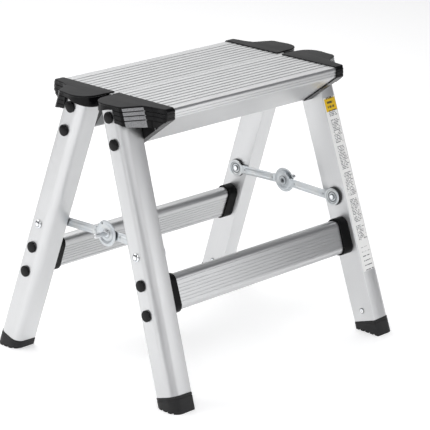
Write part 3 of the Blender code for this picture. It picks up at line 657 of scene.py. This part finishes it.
# ---- feet
def make_foot(corner, sx, sy, body):
    """A wedge with a lip and a shadow line at the tube's end, cut off by the floor, with tread grooves."""
    lip, outside = 0.0007, -FOOT_PROUD
    rows = [
        (TUBE_START - GAP, outside + lip), (TUBE_START - GAP - lip, outside), (TUBE_START - 0.0040, outside),
        (TUBE_START - 0.0046, outside + 0.0005), (TUBE_START - 0.0052, outside), (-0.03, outside),
    ]
    sections = [[(x, y, z) for x, y in leg_corners(inset, edge=0.002)] for z, inset in rows]
    foot = lofted(sections, leg_frame(sx, sy))
    reach = 0.4
    ground = [(-reach, -reach), (reach, -reach), (reach, reach), (-reach, reach)]
    foot = boolean(foot, extruded([ground], -0.2, 0), "DIFFERENCE")
    mouth, top, shoulder, depth = 0.0019, 0.0012, 0.0002, 0.0024
    treads = []
    for i in range(4):
        y = sy * (LEG_FOOT_Y - SOLE_SHIFT) + (i - 1.5) * TREAD_PITCH
        treads.append([(y - mouth, -PAST), (y + mouth, -PAST), (y + mouth, shoulder), (y + top, depth),
                       (y - top, depth), (y - mouth, shoulder)])
    foot = boolean(foot, extruded(treads, -reach, reach, ALONG_X), "DIFFERENCE")
    show(f"foot_{corner}", foot, IN_PLACE, body, FOOT_RUBBER)


# ---- platform
def bevel_path():
    """The platform's round edge between its top and its fascia, in (D, Z)."""
    bevel = arc(TOP_EDGE_D, FASCIA_TOP_Z, FASCIA_D - TOP_EDGE_D, 60, 0, 8)
    bevel[0] = (TOP_EDGE_D + BEVEL_START, TOP_Z)
    return bevel


def plain_profile(start):
    """The platform's outer face without ribs or grooves, from the middle to the end of the sloping panel."""
    return [(start, TOP_Z)] + bevel_path() + [(FASCIA_D, FASCIA_BOTTOM_Z), (PANEL_END_D, PANEL_END_Z)]


def grooved(face, levels, half):
    """Down an upright face, with a fine lengthwise groove at each level."""
    depth, floor = 0.0006, 0.0003
    path = []
    for z in levels:
        path += [(face, z + half), (face - depth, z + floor), (face - depth, z - floor), (face, z - half)]
    return path


def fascia_path():
    """Fascia with two fine lengthwise grooves, then the rounded turn into the panel."""
    turn = rounded([
        (FASCIA_D, 0.4075, 0), (FASCIA_D, FASCIA_BOTTOM_Z, 0.002), (PANEL_END_D, PANEL_END_Z, 0),
    ])
    panel_end = [(PANEL_END_D + 0.0004, PANEL_END_Z + 0.0003), (PANEL_END_D, PANEL_END_Z)]
    return grooved(FASCIA_D, (0.4128, 0.4088), 0.0006) + turn[1:-1] + panel_end


def ribbed_top():
    """Lands with a slight crown between rounded grooves, from the middle outward."""
    path = [(GAP, TOP_Z - 0.0003), (GAP + 0.0004, TOP_Z)]
    half = 0.00095
    down = [(half + 0.0012, 0.00008), (half + 0.0003, 0.00022), (half, 0.0005), (half - 0.00025, 0.0012)]
    for i in range(1, RIB_COUNT + 1):
        d = i * RIB_PITCH
        crown = d - RIB_PITCH / 2
        if i > 1:
            path += [(crown - 0.0022, TOP_Z), (crown + 0.0022, TOP_Z)]
        path += [(d - off, TOP_Z - depth) for off, depth in down]
        path += [(d + off, TOP_Z - depth) for off, depth in down[::-1]]
    return path + [(RIB_COUNT * RIB_PITCH + 0.004, TOP_Z)]


def platform_outline():
    """Section of a platform half in (D, Z)."""
    outer = ribbed_top() + bevel_path() + fascia_path()
    return outer + offset_path(plain_profile(GAP), -PLATE)[::-1]


def make_platforms():
    """The two halves with the hinge's bead (front) and socket (rear), and the hinge rod."""
    along = (-HALF_LENGTH, HALF_LENGTH)
    past = (-HALF_LENGTH - PAST, HALF_LENGTH + PAST)
    axis = ALONG_X.copy()
    axis.translation = (0, 0, HINGE_Z)
    outline = platform_outline()

    web = [(0.0022, 0), (0.0075, 0), (0.0075, 0.008), (0.0022, 0.008)]
    mouth = [(0, 0)] + arc(0, 0, 0.009, 160, 236, 8)
    neck = [(-0.003, -0.001), (-0.003, 0.001), (-0.0068, 0.001), (-0.0068, 0.008), (-0.0088, 0.008),
            (-0.0088, -0.001)]
    for half, section, added, cut in (
        ("rear", outline, (circle(SOCKET_R), web), (circle(SOCKET_BORE_R), mouth)),
        ("front", [(-d, z) for d, z in outline], (circle(BEAD_R), neck), (circle(BEAD_BORE_R),)),
    ):
        plate = extruded([section], *along, ALONG_X)
        for shape in added:
            plate = boolean(plate, extruded([shape], *along, axis), "UNION")
        for shape in cut:
            plate = boolean(plate, extruded([shape], *past, axis), "DIFFERENCE")
        show(f"platform_{half}", plate, IN_PLACE, f"{half}_frame", PLATFORM_METAL)

    head = [(ROD_HEAD_R * math.cos(a), ROD_HALF + ROD_HEAD * (0.35 + 0.65 * math.sin(a)))
            for a in turns(90, -15, 7)]
    half = [(0, head[0][1])] + head[1:] + [(ROD_HEAD_R, ROD_HALF), (ROD_R, ROD_HALF)]
    rod = turned(half + [(r, -z) for r, z in reversed(half)])
    show("hinge_rod", rod, axis, "front_frame", ROD_STEEL)


# ---- caps
# how far the tools that shape a cap reach
TOOL_X = (0.15, 0.26)
TOOL_D = (-0.02, 0.2)
TOOL_LOW_Z = 0.30
HOLLOW_LOW_Z = 0.36


def cap_bevel():
    """The cap's outer face over the platform's top and bevel, in (D, Z)."""
    return offset_path([(CAP_START_D, TOP_Z)] + bevel_path(), CAP_SKIN)


def cap_turn():
    """The cap's outer face from the foot of the fascia to the end of the sloping panel, in (D, Z)."""
    plain = [(FASCIA_D, FASCIA_TOP_Z), (FASCIA_D, FASCIA_BOTTOM_Z), (PANEL_END_D, PANEL_END_Z)]
    corner, tip = offset_path(plain, CAP_SKIN)[1:]
    return rounded([(FASCIA_D + CAP_SKIN, 0.4062, 0), (*corner, 0.0025), (*tip, 0)])[1:]


def cap_body():
    """Skin round the platform profile and the wedge under it, with grooves that carry on round the corner."""
    outer = cap_bevel() + grooved(FASCIA_D + CAP_SKIN, CAP_GROOVES[:2], 0.0007) + cap_turn()
    under = TOP_Z - PLATE - GAP
    outer += [(0.0495, PANEL_END_Z), (0.0125, 0.4085), (0.0125, under), (CAP_START_D, under)]
    mesh = extruded([outer], CAP_X, LEG_FOOT_X, ALONG_X)

    work = bmesh.new()
    work.from_mesh(mesh)
    rim = [
        edge for edge in work.edges
        if all(abs(vertex.co.x - CAP_X) < 1e-6 for vertex in edge.verts) and len(edge.link_faces) == 2
        and edge.calc_face_angle(0) > 1.2 and max(vertex.co.z for vertex in edge.verts) > TOP_Z
    ]
    bmesh.ops.bevel(work, geom=rim, offset=0.0007, segments=3, affect="EDGES", profile=0.5)
    mesh = mesh_from(work)
    for vertex in mesh.vertices:
        if vertex.co.x > HALF_LENGTH:
            vertex.co.x = leg_face_x(vertex.co.y, vertex.co.z) - GAP
    return mesh


def below_profile():
    """Everything under the cap's outer face over the platform, in (D, Z)."""
    above = CAP_TOP_Z + 0.001
    turn = cap_turn()
    outline = [(TOOL_D[0], TOOL_LOW_Z), (TOOL_D[0], above), (TOP_EDGE_D - 0.004, above),
               (TOP_EDGE_D, CAP_TOP_Z + 0.0001)]
    return outline + cap_bevel()[1:] + turn + [(turn[-1][0], TOOL_LOW_Z)]


def below_skirt():
    """Everything under the skirt's lower edge, along lobe, notch and block, in (D, Z)."""
    edge = rounded([
        (TOOL_D[0], LOBE_SKIRT_Z[0], 0), (LOBE_SKIRT_D[0], LOBE_SKIRT_Z[0], 0.005),
        (LOBE_SKIRT_D[1], LOBE_SKIRT_Z[1], 0.02), (BLOCK_SIDE_D[0], NOTCH_Z, 0.0006),
        (BLOCK_SIDE_D[1], BLOCK_LOW_Z[0], 0.0015), (BLOCK_LOW_D[0], BLOCK_LOW_Z[0], 0.01),
        (BLOCK_LOW_D[1], BLOCK_LOW_Z[1], 0.01), (TOOL_D[1], BLOCK_LOW_Z[1], 0),
    ])
    return edge + [(TOOL_D[1], TOOL_LOW_Z), (TOOL_D[0], TOOL_LOW_Z)]


def splay_shift(d, z):
    """How far the block has moved outward with the splay of the leg, going down from the cap's top."""
    start, full, hold, end = BLOCK_RAMP_D
    share = smoothstep(start, full, d) * (1 - smoothstep(hold, end, d))
    return share * SPLAY * (CAP_TOP_Z - z)


def cap_skirt():
    """Top plate over the leg with a rounded edge and a lip, and the skirt, grooved where it is deep."""
    curve = rounded(CAP_CORNERS)
    path = [curve[0]] + divided(curve[1:-1], 0.0009) + [curve[-1]]
    start = CAP_X + SKIRT_START
    loop = [(start, SKIRT_END_D[0])] + path + [(start, SKIRT_END_D[1])]
    normals = []
    for i, here in enumerate(loop):
        before = (Vector(here) - Vector(loop[i - 1])).normalized()
        after = (Vector(loop[(i + 1) % len(loop)]) - Vector(here)).normalized()
        out_a, out_b = Vector((before.y, -before.x)), Vector((after.y, -after.x))
        middle = (out_a + out_b).normalized()
        normals.append(middle / middle.dot(out_a))

    edge, lip, groove = 0.0012, 0.0005, 0.0009
    # each row: height, inset, and the shares of the lip and of the groove
    rows = [
        (CAP_TOP_Z - edge + edge * math.sin(a), edge * (1 - math.cos(a)), 0, 0)
        for a in turns(90, -18, 6)
    ]
    rows += [(CAP_TOP_Z - 0.0022, 0, 0, 0), (CAP_TOP_Z - 0.0029, 0, 1, 0)]
    for z in CAP_GROOVES:
        rows += [(z + up, 0, 1, cut) for up, cut in ((0.0008, 0), (0.0004, 1), (-0.0004, 1), (-0.0008, 0))]
    rows.append((BLOCK_LOW_Z[1] - 0.004, 0, 1, 0))
    grid = []
    for z, inset, lip_share, groove_share in rows:
        line = []
        for (x, d), normal in zip(loop, normals):
            lip_here = lip * (1 - smoothstep(0.100, 0.113, d))
            deep = smoothstep(BLOCK_SIDE_D[0], BLOCK_SIDE_D[0] + 0.001, d)
            depth = inset + lip_share * lip_here + groove_share * groove * deep
            line.append((x - normal.x * depth, d - normal.y * depth + splay_shift(d, z), z))
        grid.append(line)
    return lofted(grid)


def cap_mesh():
    """The cap of the rear right corner."""
    inner = offset_path([corner[:2] for corner in CAP_CORNERS[:BLOCK_END]], SKIRT_WALL)
    inner = rounded([(x, d, SOFT) for x, d in inner])
    room = [(CAP_X, inner[0][1])] + inner + [(CAP_X, inner[-1][1])]
    hollow = extruded([room], HOLLOW_LOW_Z, CAP_PLATE_Z)
    for vertex in hollow.vertices:
        vertex.co.y += splay_shift(vertex.co.y, vertex.co.z)
    work = bmesh.new()
    work.from_mesh(hollow)
    bmesh.ops.triangulate(work, faces=[face for face in work.faces if len(face.verts) == 4])
    inside = [(0, -PAST), (SKIRT_INNER_X, -PAST), (SKIRT_INNER_X, TOOL_D[1]), (0, TOOL_D[1])]
    skirt = boolean(cap_skirt(), mesh_from(work), "DIFFERENCE")
    skirt = boolean(skirt, extruded([below_skirt()], *TOOL_X, ALONG_X), "DIFFERENCE")
    skirt = boolean(skirt, extruded([inside], HOLLOW_LOW_Z, CAP_PLATE_Z), "DIFFERENCE")
    skirt = boolean(skirt, extruded([below_profile()], *TOOL_X, ALONG_X), "INTERSECT")
    cap = boolean(cap_body(), skirt, "UNION")
    plain = plain_profile(-PAST)
    slot = offset_path(plain, GAP) + offset_path(plain, -PLATE - GAP)[::-1]
    return boolean(cap, extruded([slot], TOOL_X[0], HALF_LENGTH + GAP, ALONG_X), "DIFFERENCE")


# ---- rungs
def rung_outline(grow=0.0, quarter=12, side=()):
    """Section of a rung, larger by grow all round: thickness along X, height along Y, both faces alike."""
    radius = RUNG_CORNER + grow
    x, y = RUNG_THICKNESS / 2 + grow - radius, RUNG_HEIGHT / 2 + grow - radius
    right = arc(x, -y, radius, -90, 0, quarter) + list(side) + arc(x, y, radius, 0, 90, quarter)
    return right + [(-px, -py) for px, py in right]


def rib_path():
    """Depth below the face against height: a shadow line near the top, then six finer grooves."""
    points = []
    fine = [(0.0098 - 0.0048 * i, 0.0005, 0.0005) for i in range(6)]
    for v, half, depth in [(0.0166, 0.0006, 0.0008)] + fine:
        points += [(v + half, 0.0), (v + half * 0.45, depth), (v - half * 0.45, depth), (v - half, 0.0)]
    return points


def rung_frame(sy):
    """X through the rung's thickness, Y up across it, Z along it."""
    across = (0, sy * math.cos(TILT), math.sin(TILT))
    up = (0, -sy * math.sin(TILT), math.cos(TILT))
    along = Vector(across).cross(Vector(up))
    return basis(across, up, along, (0, sy * (LEG_FOOT_Y - SPLAY * RUNG_Z), RUNG_Z))


def seat_ends(mesh, beyond):
    """Slide the ends of a piece along X until they meet the legs' inner faces."""
    for vertex in mesh.vertices:
        if abs(vertex.co.x) > beyond:
            face = leg_face_x(abs(vertex.co.y), vertex.co.z) - GAP
            vertex.co.x = math.copysign(face, vertex.co.x)


def make_rung(half, sy, body):
    """A ribbed rung between two legs, and the collar round each of its ends."""
    matrix = rung_frame(sy)
    face = leg_face_x(LEG_FOOT_Y - SPLAY * RUNG_Z, RUNG_Z)
    ribs = [(RUNG_THICKNESS / 2 - depth, v) for v, depth in reversed(rib_path())]
    rung = extruded([rung_outline(quarter=17, side=ribs)], -face, face, matrix)
    seat_ends(rung, face / 2)
    show(f"rung_{half}", rung, IN_PLACE, body, SHADED_RUNG_METAL)

    edge = 0.0011
    # how far back from the leg, and how far outside the rung
    stations = [(0.0, COLLAR_PROUD), (COLLAR_LENGTH - edge, COLLAR_PROUD)]
    stations += [(COLLAR_LENGTH - edge * (1 - math.sin(a)), COLLAR_PROUD - edge * (1 - math.cos(a)))
                 for a in turns(22.5, 22.5, 4)]
    stations += [(COLLAR_LENGTH, GAP * 2), (COLLAR_LENGTH - 0.0005, GAP), (0.0, GAP), stations[0]]
    for side, sx in SIDES.items():
        way = 1 if matrix.col[2].x * sx > 0 else -1
        rows = [[(x, y, way * (face - back)) for x, y in rung_outline(grow)] for back, grow in stations]
        collar = lofted(rows, matrix, closed_ends=False)
        seat_ends(collar, face - 0.0004)
        show(f"rung_collar_{half}_{side}", collar, IN_PLACE, body, COLLAR_PLASTIC)


# ---- fasteners
def cover_mesh(tail):
    """Black rivet cover with a rounded shoulder and a slightly crowned face, and its rivet."""
    base, shoulder, pin_r = LEG_DEPTH + GAP, 0.0013, 0.0022
    crown = ((0.0, 1.0), (0.25, 0.995), (0.5, 0.965), (0.68, 0.91))
    profile = [(COVER_R * out, base + COVER_HEIGHT * up) for out, up in crown]
    top = base + COVER_HEIGHT * 0.86
    profile += [
        (COVER_R - shoulder + shoulder * math.cos(a), top - shoulder + shoulder * math.sin(a))
        for a in turns(90, -15, 7)
    ]
    return turned(profile + [(COVER_R, base + 0.0004), (COVER_R - 0.0004, base), (pin_r, base), (pin_r, tail),
                             (0, tail)])


def dome_mesh(radius, height, base, pin_r, tail, tail_r=0.0, tail_head=0.0, dimple=0.0):
    """Bright domed rivet with a thin rim and a shank, and maybe a dimple or a formed tail."""
    dome = [
        (radius * math.sin(a), base + height * (0.18 + 0.82 * math.cos(a)))
        for a in turns(0, 10, 10)
    ]
    if dimple:
        floor = base + height * 0.35
        rest = [p for p in dome if p[0] > dimple * 1.15]
        dome = [(0, floor), (dimple * 0.8, floor), (dimple, base + height * 0.97)] + rest
    profile = dome + [(radius, base), (pin_r, base), (pin_r, tail)]
    if tail_r:
        round_r = tail_head * 0.6
        low = tail - tail_head + round_r
        profile += [(tail_r, tail), (tail_r, low)]
        profile += [
            (tail_r - round_r * (1 - math.cos(a)), low - round_r * math.sin(a))
            for a in turns(22.5, 22.5, 4)
        ]
    return turned(profile + [(0, tail - tail_head)])


def make_fasteners(half, sy, body):
    """Covers, rivets and stay spacers on the two legs of one half."""
    cap_cover, rung_cover = cover_mesh(-0.0033), cover_mesh(-0.012)
    tail = -STAY_STANDOFF[sy] - STAY_PLATE - GAP
    stay_rivet = dome_mesh(0.0065, 0.003, LEG_DEPTH + GAP + 0.0002, 0.003, tail, 0.0045, 0.0016)
    foot_rivet = dome_mesh(0.0045, 0.0012, GAP, 0.0016, -0.009, dimple=0.0012)
    low, high = -STAY_STANDOFF[sy] + GAP, -GAP - 0.0002
    bore, bevel = 0.0033, 0.0004
    section = [(bore, low), (SPACER_R - bevel, low), (SPACER_R, low + bevel), (SPACER_R, high - bevel),
               (SPACER_R - bevel, high), (bore, high), (bore, low)]
    spacer = lofted([level_ring(r, z, 48) for r, z in section], closed_ends=False)
    for side, sx in SIDES.items():
        corner = f"{half}_{side}"
        for place, cover, heights in (("cap", cap_cover, CAP_RIVET_Z), ("rung", rung_cover, RUNG_RIVET_Z)):
            for level, z in zip(("upper", "lower"), heights):
                name = f"{place}_rivet_{level}_{corner}"
                show(name, cover.copy(), across_leg(sx, sy, z), body, COVER_PLASTIC)
        pivot = stay_frame(sx, sy)
        show(f"stay_rivet_{corner}", stay_rivet.copy(), pivot, body, SHADED_RIVET_STEEL)
        height = (TUBE_START + FOOT_RIVET) * leg_axis(sx, sy).z
        foot_frame = across_leg(sx, sy, height) @ Matrix.Rotation(math.pi, 4, "X")
        show(f"foot_rivet_{corner}", foot_rivet.copy(), foot_frame, body, SHADED_RIVET_STEEL)
        show(f"stay_spacer_{corner}", spacer.copy(), pivot, body, SPACER_PLASTIC)


# ---- folding stays
def link_width(x, length, disc_r):
    """Half width of a link at a distance from its eye: two rounds and an arm, blended."""
    eye = math.sqrt(max(STAY_EYE_R ** 2 - x ** 2, 0.0))
    disc = math.sqrt(max(disc_r ** 2 - (x - length) ** 2, 0.0))
    arm = STAY_ARM if 0 < x < length else 0.0
    power = 7
    return (eye ** power + disc ** power + arm ** power) ** (1 / power)


def link_relief(x, y, length, sy):
    """Height of the pressed sheet over its flat plane, outward positive: a rib, a sunk eye, and the disc."""
    eye_r, disc_r = math.hypot(x, y), math.hypot(x - length, y)
    start, end = 0.021, length - 0.027
    run = smoothstep(-0.0015, 0.0025, min(x - start, end - x))
    height = 0.0011 * run * (1 - smoothstep(0.0016, 0.0040, abs(y)))
    height -= 0.0013 * smoothstep(0.0090, 0.0108, eye_r) * (1 - smoothstep(0.0142, 0.0175, eye_r))
    if sy > 0:
        height += 0.0013 * smoothstep(0.0125, 0.0145, disc_r) * (1 - smoothstep(0.0197, 0.0235, disc_r))
    else:
        height -= 0.0007 * smoothstep(0.0095, 0.0108, disc_r) * (1 - smoothstep(0.0152, 0.019, disc_r))
    return height


def link_mesh(length, sy, low, high):
    """A pressed link along X from its eye, between two heights, with softened rims."""
    disc_r = STAY_DISC_R[sy]
    stations = [-STAY_EYE_R * math.cos(a) for a in turns(4.5, 4.5, 19)]
    x = 0.0
    while x < length:
        stations.append(x)
        x += 0.0009 if x < 0.03 or x > length - 0.032 else 0.0016
    stations += [length + disc_r * math.sin(a) for a in turns(0, 4.5, 20)]
    across = [math.sin(math.radians(-90 + 180 * k / 34)) for k in range(35)]
    sections = []
    for x in stations:
        width = link_width(x, length, disc_r)
        relief = [link_relief(x, t * width, length, sy) for t in across]
        rim = [0.00055 * (1 - smoothstep(0.0, 0.0013, width * (1 - abs(t)))) for t in across]
        upper = [(x, t * width, high + r - e) for t, r, e in zip(across, relief, rim)]
        lower = [(x, t * width, low + r + e) for t, r, e in zip(across, relief, rim)]
        sections.append(upper + lower[::-1])
    return lofted(sections)


def finger_pin(low, high):
    """The pin in the middle joint, with a round nose, a small dimple and a collar on the link."""
    radius, tip, round_h, shank_r = 0.0037, high + GAP + 0.0245, 0.0030, 0.003
    nose = [(radius * math.sin(a), tip - round_h + round_h * math.cos(a))
            for a in turns(0, 15, 7)]
    dimple = [(0, tip - 0.0016), (0.0009, tip - 0.0016), (0.0010, tip - 0.0002)]
    collar = [(radius, high + 0.0016), (0.0052, high + 0.0012), (0.0056, high + GAP)]
    return turned(dimple + [p for p in nose if p[0] > 0.0012] + collar
                  + [(shank_r, high + GAP), (shank_r, low), (0, low)])


def joint_head(low, high):
    """The hollow rivet of the middle joint, with its rolled head on the inner side of the link."""
    top, head, bore_r = low - GAP, 0.0012, 0.003
    return turned([
        (0, high), (bore_r, high), (bore_r, top), (0.007, top), (0.007, top - head * 0.45),
        (0.0062, top - head * 0.95), (0.0052, top - head), (0.0038, top - head * 0.8), (0.0032, top + 0.0002),
        (0.0028, high - 0.0006), (0, high - 0.0006),
    ])


def make_stay_link(half, side):
    """A link from its leg to the middle joint, with the finger pin (rear) or the rivet's head (front)."""
    sx, sy = SIDES[side], HALVES[half]
    body = f"stay_{half}_link_{side}"
    pivot = stay_frame(sx, sy).translation
    reach = stay_frame(sx, sy, lift=STAY_RISE, d=0.0).translation - pivot
    along = reach.normalized()
    outward = stay_axis(sx)
    matrix = basis(along, outward.cross(along), outward, pivot)
    low, high = -STAY_STANDOFF[sy] - STAY_PLATE, -STAY_STANDOFF[sy]
    link = link_mesh(reach.length, sy, low, high)
    show(f"stay_link_{half}_{side}", link, matrix, body, SHADED_STAY_STEEL, sharp=65)
    joint = matrix @ Matrix.Translation((reach.length, 0, 0))
    if half == "rear":
        show(f"stay_finger_pin_{side}", finger_pin(low, high), joint, body, ("stay_steel", ROD_STEEL[1]))
    else:
        show(f"stay_joint_head_{side}", joint_head(low, high), joint, body, SHADED_STAY_STEEL)


# ---- label
def make_label():
    """A sheet on the front flat of the front right leg that wraps a little round its corner."""
    matrix = leg_frame(1, -1)
    front = -1 if matrix.col[1].y > 0 else 1
    surface = LEG_WIDTH / 2 + GAP
    centre_x, centre_y = LEG_DEPTH - LEG_CORNER, LEG_WIDTH / 2 - LEG_CORNER
    faces = []
    for distance in (surface + 0.0003, surface - 0.0002):
        radius = distance - centre_y
        flat = [(LABEL_START + (centre_x - LABEL_START) * k / 4, distance) for k in range(5)]
        faces.append(flat + [(centre_x + radius * math.sin(a), centre_y + radius * math.cos(a))
                             for a in turns(4, 4, 5)])
    outline = faces[0] + faces[1][::-1]
    low, high = (z / leg_axis(1, 1).z for z in LABEL_Z)
    label = extruded([[(x, front * y) for x, y in outline]], low, high)
    show("leg_label", label, matrix, "front_frame", LABEL_FILM)


# ---- studio
def make_floor():
    """A pale floor, with a faint glow of its own."""
    mesh = bpy.data.meshes.new("studio_floor")
    work = bmesh.new()
    bmesh.ops.create_grid(work, x_segments=2, y_segments=2, size=6)
    work.to_mesh(mesh)
    work.free()
    floor = add("studio_floor", mesh)
    nodes = Nodes("studio_floor", (0.9, 0.9, 0.9), 0.9, Specular_IOR_Level=0.1, Emission_Color=(1, 1, 1, 1),
                  Emission_Strength=0.30)
    mesh.materials.append(nodes.material)


def make_world():
    """A pale studio: bright low down behind the stool, darker overhead and in front."""
    bpy.context.scene.view_settings.view_transform = "Standard"
    world = bpy.data.worlds.new("studio")
    bpy.context.scene.world = world
    world.use_nodes = True
    tree = world.node_tree
    direction = tree.nodes.new("ShaderNodeTexCoord").outputs["Generated"]
    towards = tree.nodes.new("ShaderNodeVectorMath")
    towards.operation = "DOT_PRODUCT"
    towards.inputs[1].default_value = (0.45, 0.85, 0.28)
    tree.links.new(direction, towards.inputs[0])
    ramp = tree.nodes.new("ShaderNodeValToRGB")
    tree.links.new(towards.outputs["Value"], ramp.inputs[0])
    dark, bright = ramp.color_ramp.elements
    dark.position, dark.color = 0.25, (0.20, 0.20, 0.21, 1)
    bright.position, bright.color = 0.85, (0.76, 0.76, 0.76, 1)
    tree.links.new(ramp.outputs[0], tree.nodes["Background"].inputs["Color"])


def make_lights():
    """Square lamps: name, place, what it is aimed at, size and power."""
    for name, location, target, size, power in (
        ("overhead", (0.6, 1.3, 2.5), (0.6, 1.2, 0), 2.2, 36),
        ("key", (-1.3, 1.1, 1.3), (-0.85, 0.7, 0), 1.0, 11),
        ("front", (-1.2, -0.9, 1.5), (-0.75, -0.75, 0), 1.0, 14),
        ("left", (-2.4, -0.35, 0.25), (0, 0, 0.2), 0.9, 3.0),
        ("edge", (-0.303, -1.04, 0.62), (-0.21, -0.07, 0.4), 0.70, 1.3),
        ("card", (0.30, -0.80, 0.30), (-0.2, -0.15, 0.2), 0.45, 0.9),
    ):
        light = bpy.data.lights.new(name, "AREA")
        light.shape = "SQUARE"
        light.size = size
        light.energy = power
        lamp = add(name, light)
        lamp.location = location
        lamp.visible_camera = False
        lamp.rotation_euler = (Vector(target) - lamp.location).to_track_quat("-Z", "Y").to_euler()


def make_camera():
    """A long lens at the angle of the main view."""
    azimuth, elevation, roll = (math.radians(v) for v in (-46.46, 18.19, 1.067))
    target = Vector((-0.1308, -0.1578, 0.2649))
    distance = 2.9488
    level_share = math.cos(elevation)
    back = Vector((math.sin(azimuth) * level_share, -math.cos(azimuth) * level_share, math.sin(elevation)))
    level = Vector((0, 0, 1)).cross(back).normalized()
    upright = back.cross(level)
    right = level * math.cos(roll) + upright * math.sin(roll)
    up = upright * math.cos(roll) - level * math.sin(roll)
    data = bpy.data.cameras.new("camera")
    data.sensor_width = 36
    data.lens = 174.27
    data.clip_end = 50
    camera = add("camera", data)
    camera.matrix_world = basis(right, up, back, target + back * distance)
    bpy.context.scene.camera = camera


# ---- assembly
def main():
    """Every piece, then the studio round them."""
    make_platforms()
    cap = cap_mesh()
    for half, sy in HALVES.items():
        body = f"{half}_frame"
        for side, sx in SIDES.items():
            corner = f"{half}_{side}"
            show(f"cap_{corner}", flipped(cap, sx, sy), IN_PLACE, body, CAP_PLASTIC)
            make_leg(corner, sx, sy, body)
            make_foot(corner, sx, sy, body)
            make_stay_link(half, side)
        make_rung(half, sy, body)
        make_fasteners(half, sy, body)
    make_label()
    make_floor()
    make_world()
    make_lights()
    make_camera()


main()
